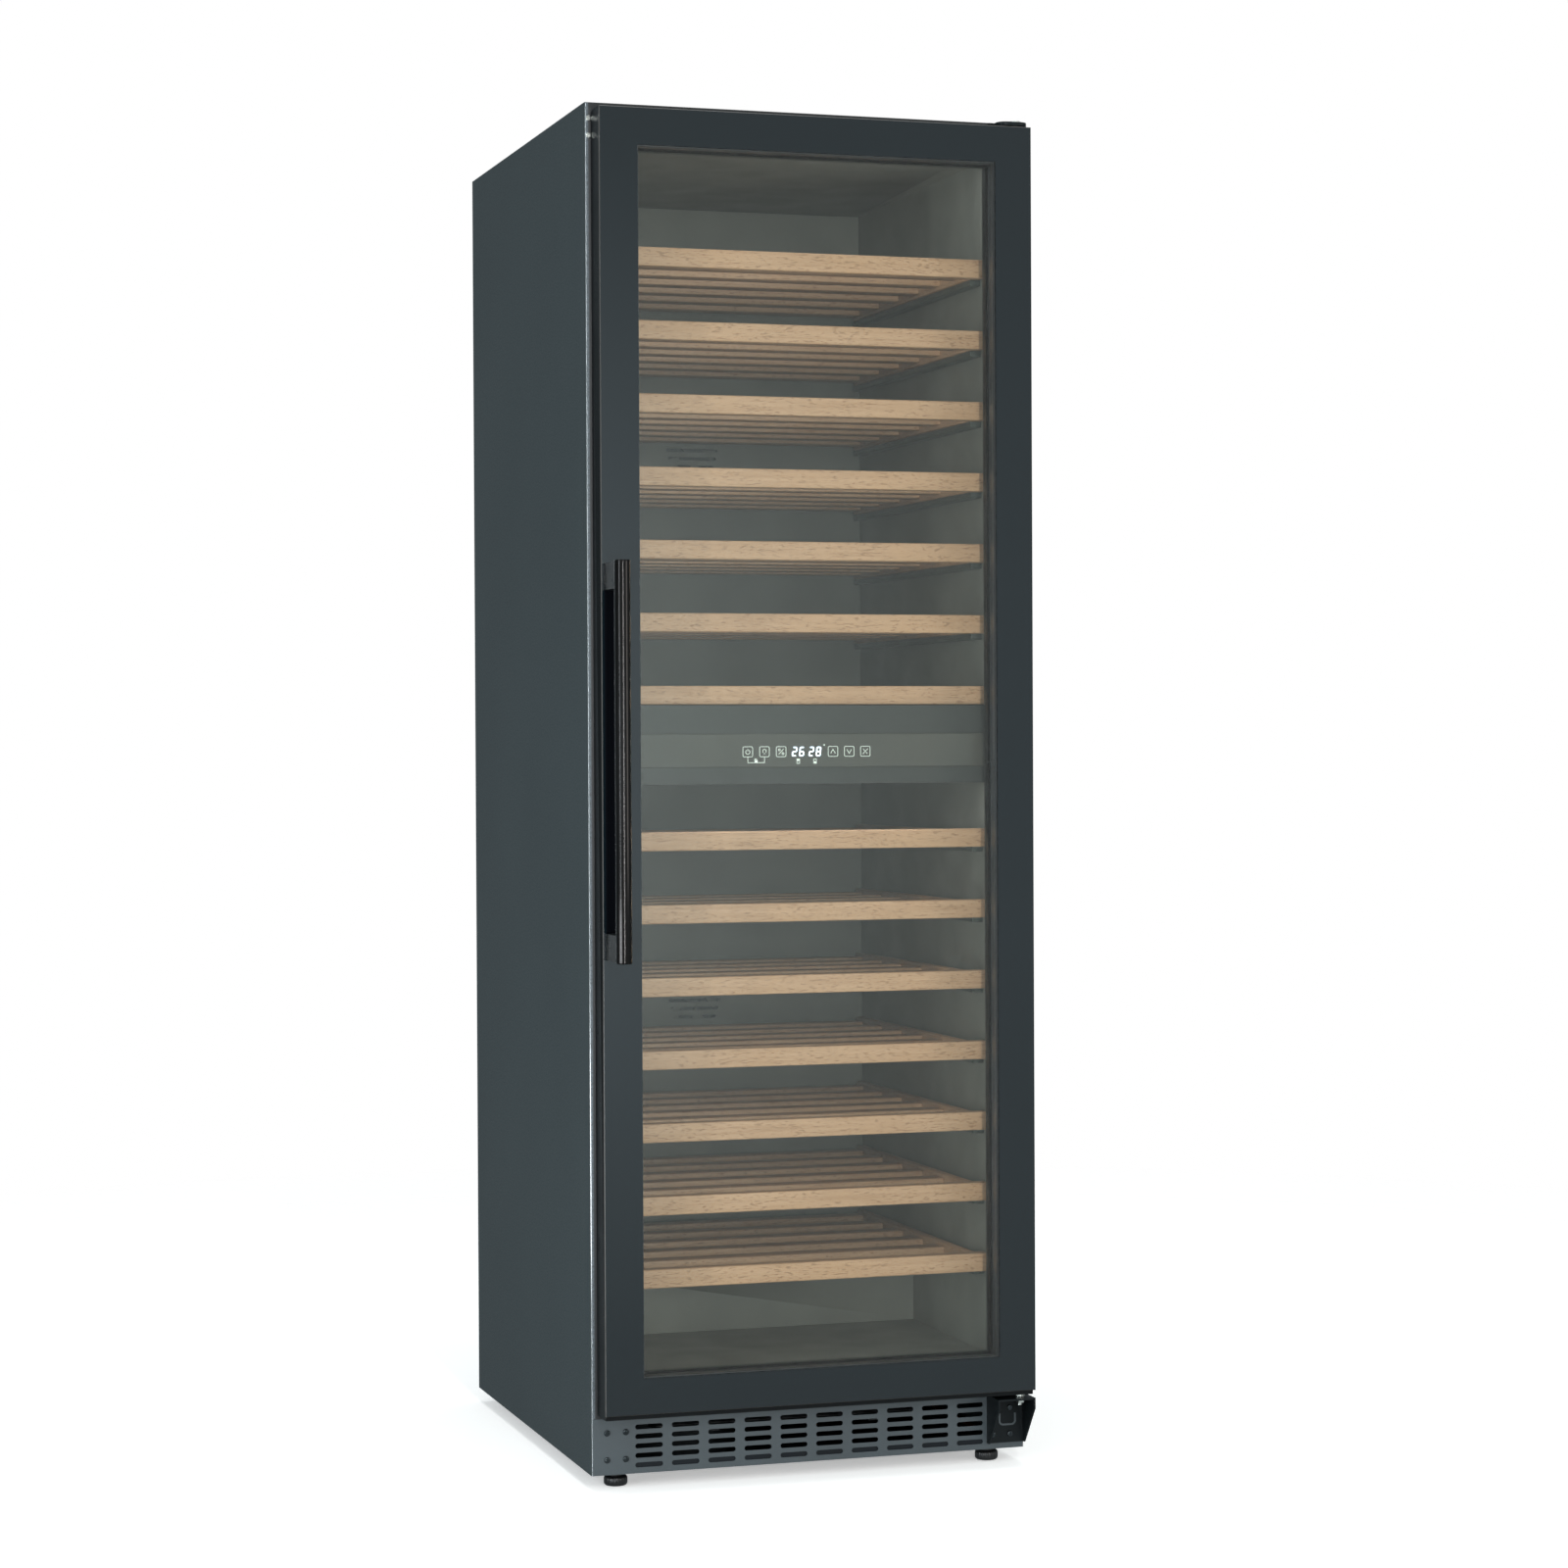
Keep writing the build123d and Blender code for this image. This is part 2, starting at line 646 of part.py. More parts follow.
def fan_rotor(radius, depth, blades):
    """Hub and pitched blades, on the Z axis, with a bore for the motor shaft."""
    hub = Cylinder(radius * HUB_SHARE, depth)
    root = radius * BLADE_ROOT_SHARE
    blade_length = radius * (1 - BLADE_ROOT_SHARE) - BLADE_TIP_GAP
    for i in range(blades):
        blade = Box(blade_length, depth * BLADE_CHORD_SHARE, BLADE_SHEET)
        blade = Pos(root + blade_length / 2, 0, 0) * Rot(BLADE_PITCH, 0, 0) * blade
        hub = hub + Rot(0, 0, 360 / blades * i) * blade
    bore = Cylinder(SHAFT_RADIUS + PIN_CLEARANCE, depth / 2)
    return hub - Pos(0, 0, -depth / 4) * bore


def fan_shroud(ring_radius, depth):
    """Ring, three arms, motor and shaft, on the Z axis, behind the rotor."""
    length = depth + RING_EXTRA
    wall = Cylinder(ring_radius + RING_WALL, length) - Cylinder(ring_radius, length + 2 * PAST)
    back = -depth / 2
    motor_centre = back - MOTOR_GAP - MOTOR_DEPTH / 2
    shroud = Pos(0, 0, -RING_SETBACK) * wall
    shroud = shroud + Pos(0, 0, motor_centre) * Cylinder(ring_radius * MOTOR_SHARE, MOTOR_DEPTH)
    for i in range(ARMS):
        arm = Box(ring_radius + ARM_OVERLAP, ARM_WIDTH, ARM_SHEET)
        arm = Pos((ring_radius + ARM_OVERLAP) / 2, 0, motor_centre - ARM_SHEET / 2) * arm
        shroud = shroud + Rot(0, 0, 360 / ARMS * i + ARM_START) * arm
    tip = back + depth * SHAFT_SHARE
    shaft = Cylinder(SHAFT_RADIUS, tip - motor_centre)
    return shroud + Pos(0, 0, (tip + motor_centre) / 2) * shaft


def shelf(top):
    """A beech shelf: front strip, two side bars, a rear bar and cross slats set lower."""
    bottom = top - STRIP_HEIGHT
    strip_back = SHELF_FRONT + STRIP_DEPTH
    strip = slab(-SHELF_HALF, SHELF_HALF, SHELF_FRONT, strip_back, bottom, top)
    front_edges = strip.edges().filter_by_position(Axis.Y, SHELF_FRONT - NEAR, SHELF_FRONT + NEAR)
    pieces = [fillet(front_edges, STRIP_ROUND)]
    for side in (-1, 1):
        x0, x1 = sorted((side * SIDE_BAR_INNER, side * SIDE_BAR_OUTER))
        pieces.append(slab(x0, x1, strip_back, SHELF_BACK, bottom + SIDE_BAR_LIFT, top - SIDE_BAR_DROP))
    slat_top = top - SLAT_DROP
    gap = (SHELF_BACK - SLAT_DEPTH - strip_back - SLAT_START) / (SLATS - 1)
    for i in range(SLATS):
        y = strip_back + SLAT_START + gap * i
        slat = slab(
            -SIDE_BAR_INNER, SIDE_BAR_INNER, y, y + SLAT_DEPTH, slat_top - SLAT_HEIGHT, slat_top
        )
        pieces.append(slat)
    return pieces


def shelf_tops():
    """The top of every shelf, from the highest down."""
    tops = []
    for first in (UPPER_SHELF_TOP, LOWER_SHELF_TOP):
        tops += [first - SHELF_PITCH * i for i in range(SHELVES_PER_ZONE)]
    return tops


def shelf_rails(side):
    """The ledges on one wall that the shelves slide on."""
    x0, x1 = sorted((side * RAIL_INNER, side * LINER_HALF))
    ledges = []
    for top in shelf_tops():
        high = top - STRIP_HEIGHT + SIDE_BAR_LIFT - SLIDE_GAP
        low = high - RAIL_HEIGHT
        if low < DIVIDER_TOP < high:
            low = DIVIDER_TOP
        ledges.append(slab(x0, x1, RAIL_FRONT, RAIL_BACK, low, high))
    return ledges


def grille_slots():
    """Centres of the kick grille's slots."""
    middle = (SLOT_COLUMNS - 1) / 2
    return [
        ((column - middle) * SLOT_PITCH_X, SLOT_LOWEST + row * SLOT_PITCH_Z)
        for row in range(SLOT_ROWS)
        for column in range(SLOT_COLUMNS)
    ]


def grille_screws():
    """Centres of the screws at both ends of the kick grille."""
    places = [(-x, z) for x in (SCREW_NEAR, SCREW_FAR) for z in (SCREW_LOW, SCREW_HIGH)]
    return places, [(SCREW_FAR, SCREW_HIGH), (SCREW_FAR, SCREW_LOW), (SCREW_NEAR, SCREW_LOW)]


def kick_grille():
    """The slotted plate under the door."""
    sheet = slab(-GRILLE_HALF, GRILLE_HALF, FRONT, FRONT + GRILLE_SHEET, UNDERSIDE, GRILLE_TOP)
    cutters = [
        slot_through_y(x, z, FRONT - PAST, FRONT + SHEET + PAST, SLOT_LENGTH, SLOT_HEIGHT)
        for x, z in grille_slots()
    ]
    left, right = grille_screws()
    radius = PANEL_SCREW_RADIUS + SCREW_CLEARANCE
    cutters += [rod_y(x, z, FRONT - PAST, FRONT + SHEET + PAST, radius) for x, z in left + right]
    return sheet - cutters


def panel_screw(x, z, seat):
    """A pan-head screw with a cross recess, its head lying on the plane y = seat."""
    face = seat - PANEL_SCREW_HEIGHT
    head = rod_y(x, z, face, seat, PANEL_SCREW_HEAD)
    head = fillet(head.edges().filter_by_position(Axis.Y, face - NEAR, face + NEAR), PANEL_SCREW_ROUND)
    long, thin = CROSS_REACH, CROSS_HALF_WIDTH
    y0, y1 = face - PAST, face + CROSS_DEPTH
    cross = slab(x - long, x + long, y0, y1, z - thin, z + thin)
    cross = cross + slab(x - thin, x + thin, y0, y1, z - long, z + long)
    return head + rod_y(x, z, seat, PANEL_SCREW_END, PANEL_SCREW_RADIUS) - cross


def panel_screws():
    """The grille's screws, and the longer ones through the lower hinge bracket."""
    left, right = grille_screws()
    screws = [panel_screw(x, z, FRONT) for x, z in left]
    return screws + [panel_screw(x, z, FRONT - BRACKET_SHEET) for x, z in right]


def gusset(x):
    """A bracket cheek whose front edge slants back to the foot."""
    reach = FRONT - BRACKET_REACH
    points = [
        (FRONT - BRACKET_SHEET, BRACKET_BOTTOM),
        (FRONT - BRACKET_SHEET - GUSSET_TOE, BRACKET_BOTTOM),
        (reach, BRACKET_TOP - GUSSET_NOSE),
        (reach, BRACKET_TOP - BRACKET_SHEET),
        (FRONT - BRACKET_SHEET, BRACKET_TOP - BRACKET_SHEET),
    ]
    plane = Plane(origin=(x, 0, 0), x_dir=(0, 1, 0), z_dir=(1, 0, 0))
    return extrude(plane * make_face(Polyline(points, close=True)), BRACKET_SHEET)


def lower_hinge_bracket():
    """Base plate, two cheeks and the top plate that carries the door's lower pin."""
    right = HALF_WIDTH
    plate = slab(BRACKET_LEFT, right, FRONT - BRACKET_SHEET, FRONT, BRACKET_BOTTOM, BRACKET_TOP)
    shelf_plate = slab(
        BRACKET_LEFT,
        right,
        FRONT - BRACKET_REACH,
        FRONT - BRACKET_SHEET,
        BRACKET_TOP - BRACKET_SHEET,
        BRACKET_TOP,
    )
    body = plate + shelf_plate + gusset(BRACKET_LEFT) + gusset(right - BRACKET_SHEET)
    _, screws = grille_screws()
    holes = [(x, z, PANEL_SCREW_RADIUS + SCREW_CLEARANCE) for x, z in screws]
    holes.append((SPARE_HOLE_X, SCREW_HIGH, SPARE_HOLE_RADIUS))
    for x, z, radius in holes:
        body = body - rod_y(x, z, FRONT - BRACKET_SHEET - PAST, FRONT + PAST, radius)
    low, high = BRACKET_TOP - BRACKET_SHEET - PAST, BRACKET_TOP + PAST
    return body - rod_z(HINGE_X, HINGE_Y, low, high, PIN_RADIUS + PIN_CLEARANCE)


def upper_hinge_bracket():
    """An angle on the cabinet's top rail whose leg reaches over the door."""
    right = HALF_WIDTH - LEG_SETBACK
    leg = slab(LEG_ROOT, right, FRONT - LEG_LENGTH, FRONT, LEG_BOTTOM, LEG_TOP)
    tip = FRONT - LEG_LENGTH
    corners = leg.edges().filter_by(Axis.Z).filter_by_position(Axis.Y, tip - NEAR, tip + NEAR)
    leg = fillet(corners, LEG_ROUND)
    root = slab(LEG_ROOT, right, FRONT - ROOT_SHEET, FRONT, LEG_BOTTOM, TOP - ROOT_DROP)
    low, high = LEG_BOTTOM - PAST, LEG_TOP + PAST
    return leg + root - rod_z(HINGE_X, HINGE_Y, low, high, PIN_RADIUS + PIN_CLEARANCE)


def hinge_pins():
    """The upper pin hangs from its head; the lower one stands on its nut."""
    upper = rod_z(HINGE_X, HINGE_Y, DOOR_TOP - PIN_REACH + PAST, LEG_TOP, PIN_RADIUS)
    upper = upper + rod_z(HINGE_X, HINGE_Y, LEG_TOP, LEG_TOP + PIN_HEAD_HEIGHT, PIN_HEAD)
    low, high = BRACKET_TOP - PIN_TAIL, DOOR_BOTTOM + PIN_REACH - PAST
    lower = rod_z(HINGE_X, HINGE_Y, low, high, PIN_RADIUS)
    nut = extrude(RegularPolygon(PIN_HEAD, 6), NUT_HEIGHT)
    lower = lower + Pos(HINGE_X, HINGE_Y, BRACKET_TOP - BRACKET_SHEET - NUT_HEIGHT) * nut
    washer = rod_z(HINGE_X, HINGE_Y, BRACKET_TOP, BRACKET_TOP + WASHER_HEIGHT, PIN_HEAD)
    return [upper, lower + washer]


def door_frame():
    """Two stiles and two rails with a rear lip for the inner pane, and a lip under the front glass."""
    front = DOOR_FRONT + GLASS
    pane_back = INNER_GLASS_FRONT + GLASS
    low = DOOR_BOTTOM + GLASS_LIP
    left = slab(DOOR_LEFT, WINDOW_LEFT, front, pane_back, DOOR_BOTTOM, DOOR_TOP)
    left = left + slab(DOOR_LEFT, WINDOW_LEFT + INNER_LIP, pane_back, DOOR_BACK, DOOR_BOTTOM, DOOR_TOP)
    right = slab(WINDOW_RIGHT, DOOR_RIGHT, front, pane_back, low, DOOR_TOP)
    lip_right = WINDOW_RIGHT - INNER_LIP
    right = right + slab(lip_right, DOOR_RIGHT, pane_back, DOOR_BACK, low, DOOR_TOP)
    inset = DOOR_RIGHT - CORNER_STEP
    right = right + slab(WINDOW_RIGHT, inset, front, pane_back, DOOR_BOTTOM, low)
    right = right + slab(lip_right, inset, pane_back, DOOR_BACK, DOOR_BOTTOM, low)
    sockets = (
        (DOOR_BOTTOM - PAST, DOOR_BOTTOM + PIN_REACH),
        (DOOR_TOP - PIN_REACH, DOOR_TOP + PAST),
    )
    for z0, z1 in sockets:
        right = right - rod_z(HINGE_X, HINGE_Y, z0, z1, PIN_RADIUS + PIN_CLEARANCE)
    for z in handle_screw_heights():
        radius = SCREW_RADIUS + SCREW_CLEARANCE
        behind = DOOR_BACK + PAST
        left = left - rod_y(HANDLE_X, z, front - PAST, behind, radius)
        left = left - rod_y(HANDLE_X, z, DOOR_BACK - HEAD_RECESS, behind, SCREW_HEAD + HEAD_PLAY)
    x0, x1 = WINDOW_LEFT, WINDOW_RIGHT
    bottom = slab(x0, x1, front, pane_back, DOOR_BOTTOM, WINDOW_BOTTOM)
    bottom = bottom + slab(
        x0 + INNER_LIP, x1 - INNER_LIP, pane_back, DOOR_BACK, DOOR_BOTTOM, WINDOW_BOTTOM + INNER_LIP
    )
    top = slab(x0, x1, front, pane_back, WINDOW_TOP, DOOR_TOP)
    lip_top = WINDOW_TOP - INNER_LIP
    top = top + slab(x0 + INNER_LIP, x1 - INNER_LIP, pane_back, DOOR_BACK, lip_top, DOOR_TOP)
    lip = slab(DOOR_LEFT, inset, DOOR_FRONT, front, DOOR_BOTTOM, low)
    return [left, right, bottom, top, lip]


def handle_screw_heights():
    """Heights of the screws that hold the two handle posts."""
    return (POST_LOW + POST_HEIGHT / 2, POST_HIGH + POST_HEIGHT / 2)


def outer_glass():
    """The front pane, covering the whole door down to its lip."""
    back = DOOR_FRONT + GLASS
    pane = slab(DOOR_LEFT, DOOR_RIGHT, DOOR_FRONT, back, DOOR_BOTTOM + GLASS_LIP, DOOR_TOP)
    edges = pane.edges().filter_by_position(Axis.Y, DOOR_FRONT - NEAR, DOOR_FRONT + NEAR)
    pane = chamfer(edges, GLASS_CHAMFER)
    for z in handle_screw_heights():
        radius = SCREW_RADIUS + SCREW_CLEARANCE
        pane = pane - rod_y(HANDLE_X, z, DOOR_FRONT - PAST, back + PAST, radius)
    return pane


def inner_glass():
    """The rear pane, seated on the frame's lip."""
    back = INNER_GLASS_FRONT + GLASS
    return slab(WINDOW_LEFT, WINDOW_RIGHT, INNER_GLASS_FRONT, back, WINDOW_BOTTOM, WINDOW_TOP)


def glass_spacer():
    """The strip that keeps the two panes apart."""
    return ring(
        WINDOW_LEFT,
        WINDOW_RIGHT,
        WINDOW_BOTTOM,
        WINDOW_TOP,
        SPACER_SHEET,
        DOOR_FRONT + GLASS,
        INNER_GLASS_FRONT,
    )


def door_gasket():
    """The magnetic seal on the door's back."""
    return ring(
        GASKET_LEFT,
        GASKET_RIGHT,
        GASKET_BOTTOM,
        GASKET_TOP,
        GASKET_WIDTH,
        DOOR_BACK,
        FRONT - GASKET_GAP,
    )


def handle_bar():
    """The round bar of the handle."""
    bar = rod_z(HANDLE_X, HANDLE_Y, HANDLE_BOTTOM, HANDLE_TOP, HANDLE_RADIUS)
    return chamfer(bar.edges().filter_by(GeomType.CIRCLE), HANDLE_CHAMFER)


def handle_posts():
    """Two blocks that hold the bar off the door."""
    posts = []
    for low in (POST_LOW, POST_HIGH):
        post = slab(POST_LEFT, POST_RIGHT, HANDLE_Y, DOOR_FRONT, low, low + POST_HEIGHT)
        high = low + POST_HEIGHT
        post = post - rod_z(HANDLE_X, HANDLE_Y, low - PAST, high + PAST, HANDLE_RADIUS)
        y0, y1 = DOOR_FRONT - SCREW_GRIP - 2 * PAST, DOOR_FRONT + PAST
        hole = rod_y(HANDLE_X, (low + high) / 2, y0, y1, SCREW_RADIUS + SCREW_CLEARANCE)
        posts.append(post - hole)
    return posts


def handle_screws():
    """The bolts through the stile and the glass into the posts."""
    bolts = []
    for z in handle_screw_heights():
        seat = DOOR_BACK - HEAD_RECESS
        shank = rod_y(HANDLE_X, z, DOOR_FRONT - SCREW_GRIP, seat, SCREW_RADIUS)
        bolts.append(shank + rod_y(HANDLE_X, z, seat, seat + SCREW_HEAD_HEIGHT, SCREW_HEAD))
    return bolts


def front_foot(side):
    """A screw foot: grooved disc, neck and stem, standing on the floor."""
    disc = Cylinder(FOOT_RADIUS, FOOT_HEIGHT, align=(Align.CENTER, Align.CENTER, Align.MIN))
    disc = fillet(disc.edges().filter_by(GeomType.CIRCLE), WHEEL_ROUND)
    groove = Cylinder(GROOVE_RADIUS, FOOT_HEIGHT + 2 * PAST)
    groove = Pos(FOOT_RADIUS + GROOVE_OFFSET, 0, FOOT_HEIGHT / 2) * groove
    foot = disc - [Rot(0, 0, 360 / GROOVES * i) * groove for i in range(GROOVES)]
    shoulder = UNDERSIDE - PLAY / 2
    foot = foot + rod_z(0, 0, FOOT_HEIGHT, shoulder, FOOT_NECK)
    foot = foot + rod_z(0, 0, shoulder, UNDERSIDE + STEM_LENGTH, STEM_RADIUS)
    return Pos(side * FOOT_X, FOOT_Y, 0) * foot


def rear_roller(side):
    """A plastic roller on its axle."""
    x = side * ROLLER_X
    half = ROLLER_WIDTH / 2
    wheel = rod_x(ROLLER_Y, ROLLER_RADIUS, x - half, x + half, ROLLER_RADIUS)
    wheel = fillet(wheel.edges().filter_by(GeomType.CIRCLE), WHEEL_ROUND)
    x0, x1 = x - half - PAST, x + half + PAST
    return wheel - rod_x(ROLLER_Y, ROLLER_RADIUS, x0, x1, AXLE_RADIUS + PIN_CLEARANCE)


def roller_brackets():
    """A folded bracket over each roller, tabbed onto the base pan, with its axle."""
    pieces = []
    inner = ROLLER_WIDTH / 2 + CHEEK_GAP
    outer = inner + CHEEK
    deck = UNDERSIDE + PAN_SHEET
    for side in (-1, 1):
        x = side * ROLLER_X
        y0, y1 = ROLLER_Y - CHEEK_HALF, ROLLER_Y + CHEEK_HALF
        low, high = CHEEK_BOTTOM, CHEEK_TOP
        body = slab(x - outer, x + outer, y0, y1, low, high)
        body = body - slab(x - inner, x + inner, y0 - PAST, y1 + PAST, low - PAST, high - CHEEK)
        body = body + slab(x - outer - TAB, x - outer, y0, y1, deck, deck + CHEEK)
        body = body + slab(x + outer, x + outer + TAB, y0, y1, deck, deck + CHEEK)
        x0, x1 = x - outer - PAST, x + outer + PAST
        body = body - rod_x(ROLLER_Y, ROLLER_RADIUS, x0, x1, AXLE_RADIUS + PIN_CLEARANCE)
        pieces.append(body)
        pieces.append(rod_x(ROLLER_Y, ROLLER_RADIUS, x0, x1, AXLE_RADIUS))
    return pieces


def compressor_corners():
    """Where the compressor's rubber mounts stand."""
    return [
        (COMPRESSOR_X + dx, COMPRESSOR_Y + dy) for dx in (-MOUNT_X, MOUNT_X) for dy in (-MOUNT_Y, MOUNT_Y)
    ]


def compressor_mounts():
    """Four rubber grommets."""
    low = UNDERSIDE + PAN_SHEET
    return [rod_z(x, y, low, low + MOUNT_HEIGHT, MOUNT_RADIUS) for x, y in compressor_corners()]


def compressor():
    """A hermetic shell on its foot plate, with the terminal box on one side."""
    base = UNDERSIDE + PAN_SHEET + MOUNT_HEIGHT
    x, y = COMPRESSOR_X, COMPRESSOR_Y
    seat = base + FOOT_PLATE_SHEET
    top = seat + COMPRESSOR_HEIGHT
    plate = slab(x - FOOT_PLATE_X, x + FOOT_PLATE_X, y - FOOT_PLATE_Y, y + FOOT_PLATE_Y, base, seat)
    shell = rod_z(x, y, seat, top, COMPRESSOR_RADIUS)
    shell = fillet(shell.edges().filter_by_position(Axis.Z, top - NEAR, top + NEAR), COMPRESSOR_DOME)
    box = slab(
        x + TERMINALS_NEAR,
        x + TERMINALS_FAR,
        y - TERMINALS_HALF,
        y + TERMINALS_HALF,
        base + TERMINALS_LOW,
        base + TERMINALS_HIGH,
    )
    return plate + shell + box


def drain_tray():
    """The defrost-water tray on top of the compressor."""
    x, y, reach_x, reach_y = COMPRESSOR_X, COMPRESSOR_Y, TRAY_HALF_X, TRAY_HALF_Y
    low = UNDERSIDE + PAN_SHEET + MOUNT_HEIGHT + FOOT_PLATE_SHEET + COMPRESSOR_HEIGHT
    high = low + TRAY_HEIGHT
    tray = slab(x - reach_x, x + reach_x, y - reach_y, y + reach_y, low, high)
    reach_x, reach_y = reach_x - TRAY_WALL, reach_y - TRAY_WALL
    return tray - slab(x - reach_x, x + reach_x, y - reach_y, y + reach_y, low + TRAY_WALL, high + PAST)


def pipe(points, radius, bend):
    """A round tube along straight runs joined by arcs."""
    path = FilletPolyline(*points, radius=bend)
    section = Plane(origin=path @ 0, z_dir=path % 0) * Circle(radius)
    return sweep(section, path=path)


def condenser():
    """A flat serpentine of tube held by two straps, behind the kick grille."""
    points = []
    for i in range(COIL_RUNS):
        y = COIL_FRONT + COIL_PITCH * i
        ends = (COIL_LEFT, COIL_RIGHT) if i % 2 == 0 else (COIL_RIGHT, COIL_LEFT)
        points += [(x, y, COIL_Z) for x in ends]
    coil = pipe(points, COIL_RADIUS, PIPE_BEND)
    y0 = COIL_FRONT - STRAP_OVERLAP
    y1 = COIL_FRONT + COIL_PITCH * (COIL_RUNS - 1) + STRAP_OVERLAP
    strap_top = COIL_Z - COIL_RADIUS + PLAY
    for x in STRAP_PLACES:
        coil = coil + slab(x, x + STRAP_WIDTH, y0, y1, strap_top - STRAP_SHEET, strap_top)
    return coil


def refrigerant_pipes():
    """Copper lines: compressor to condenser along the right-hand side, and up to the evaporators."""
    run_y = COMPRESSOR_Y - PIPE_RUN_Y
    discharge_points = [
        (DISCHARGE_X, COMPRESSOR_Y - DISCHARGE_REACH, DISCHARGE_Z),
        (DISCHARGE_X, run_y, DISCHARGE_Z),
        (DISCHARGE_X, run_y, LOW_RUN_Z),
        (SIDE_RUN_X, run_y, LOW_RUN_Z),
        (SIDE_RUN_X, FRONT_RUN_Y, LOW_RUN_Z),
        (FRONT_RUN_END, FRONT_RUN_Y, LOW_RUN_Z),
    ]
    riser_y = COMPRESSOR_Y - SUCTION_RUN_Y
    suction_points = [
        (SUCTION_X, COMPRESSOR_Y - SUCTION_REACH, SUCTION_Z),
        (SUCTION_X, riser_y, SUCTION_Z),
        (SUCTION_X, riser_y, COMPARTMENT_TOP - SHEET),
    ]
    drier = rod_x(run_y, DRIER_Z, DRIER_LEFT, DRIER_RIGHT, DRIER_RADIUS)
    drier = fillet(drier.edges().filter_by(GeomType.CIRCLE), DRIER_ROUND)
    lines = [pipe(points, PIPE_RADIUS, PIPE_BEND) for points in (discharge_points, suction_points)]
    return [*lines, drier]


def power_inlet():
    """The appliance inlet in the back: a housing with a recess and three blades."""
    y0 = BACK - INLET_DEPTH
    floor = y0 + INLET_FLOOR
    x, z, reach_x, reach_z = INLET_X, INLET_Z, INLET_HALF_WIDTH, INLET_HALF_HEIGHT
    body = slab(x - reach_x, x + reach_x, y0, BACK, z - reach_z, z + reach_z)
    reach_x, reach_z = RECESS_HALF_WIDTH, RECESS_HALF_HEIGHT
    body = body - slab(x - reach_x, x + reach_x, floor, BACK + PAST, z - reach_z, z + reach_z)
    wide, tall = BLADE_HALF_WIDTH, BLADE_HALF_HEIGHT
    for dx, dz in INLET_BLADES:
        blade_x, blade_z = x + dx, z + dz
        blade = slab(
            blade_x - wide, blade_x + wide, floor, BACK - BLADE_SHORT, blade_z - tall, blade_z + tall
        )
        body = body + blade
    return body


def facing_front(x, y, z, shape):
    """Turns a shape made on the Z axis to face the door, and puts it in place."""
    return Pos(x, y, z) * Rot(90, 0, 0) * shape


os.makedirs("parts", exist_ok=True)

save("side_panel_left", side_panel(-1))
save("side_panel_right", side_panel(1))
save("hole_plugs", *hole_plugs())
save("top_panel", top_panel())
save("rear_panel", rear_panel())
save("base_frame", *base_frame())
save("liner", *liner())
save("insulation_foam", *insulation_foam())

save("zone_divider", zone_divider())
save("control_panel", control_panel())
save("control_board", control_board())
save("led_bars", *led_bars())
save("duct_cover_upper", duct_cover(DIVIDER_TOP + 1, CEILING - 1, UPPER_FAN_Z))
save("duct_cover_lower", duct_cover(STEP_TOP + 1, DIVIDER_BOTTOM - 1, LOWER_FAN_Z))
save("evaporators", *evaporators())

zone_rotor = fan_rotor(FAN_RADIUS, FAN_DEPTH, 7)
zone_shroud = fan_shroud(FAN_RING, FAN_DEPTH)
save("fan_rotor_upper", facing_front(0, FAN_Y, UPPER_FAN_Z, zone_rotor))
save("fan_rotor_lower", facing_front(0, FAN_Y, LOWER_FAN_Z, zone_rotor))
save("fan_shrouds", *[facing_front(0, FAN_Y, z, zone_shroud) for z in (UPPER_FAN_Z, LOWER_FAN_Z)])

for number, height in enumerate(shelf_tops(), start=1):
    save(f"shelf_{number:02d}", *shelf(height))
save("shelf_rails_left", *shelf_rails(-1))
save("shelf_rails_right", *shelf_rails(1))

save("kick_grille", kick_grille())
save("panel_screws", *panel_screws())
save("lower_hinge_bracket", lower_hinge_bracket())
save("upper_hinge_bracket", upper_hinge_bracket())
save("hinge_pins", *hinge_pins())

save("foot_left", front_foot(-1))
save("foot_right", front_foot(1))
save("roller_left", rear_roller(-1))
save("roller_right", rear_roller(1))
save("roller_brackets", *roller_brackets())

save("compressor", compressor())
save("compressor_mounts", *compressor_mounts())
save("drain_tray", drain_tray())
save("condenser", condenser())
save("refrigerant_pipes", *refrigerant_pipes())
big_rotor = fan_rotor(CONDENSER_FAN_RADIUS, FAN_DEPTH, 7)
big_shroud = fan_shroud(CONDENSER_FAN_RING, FAN_DEPTH)
fan_place = (CONDENSER_FAN_X, CONDENSER_FAN_Y, CONDENSER_FAN_Z)
save("condenser_fan_rotor", facing_front(*fan_place, big_rotor))
save("condenser_fan_shroud", facing_front(*fan_place, big_shroud))
save("power_inlet", power_inlet())

save("door_frame", *door_frame())
save("outer_glass", outer_glass())
save("inner_glass", inner_glass())
save("glass_spacer", *glass_spacer())
save("door_gasket", *door_gasket())
save("handle_bar", handle_bar())
save("handle_posts", *handle_posts())
save("handle_screws", *handle_screws())
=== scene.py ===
# %% [markdown]
# # A two-zone wine cooler
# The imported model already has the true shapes, sizes and joints of the cooler. This script dresses it:
# it paints the steel, replaces the parts whose fine shape matters, and lights the whole thing softly.
# The model is loaded first and kept as a fixed frame, so every later piece takes its place from it.
# A second way would be to model the cooler from nothing, but then its doors and shelves would not move.

# %% Load the frame
import math

import bmesh
import bpy
from mathutils import Matrix, Vector


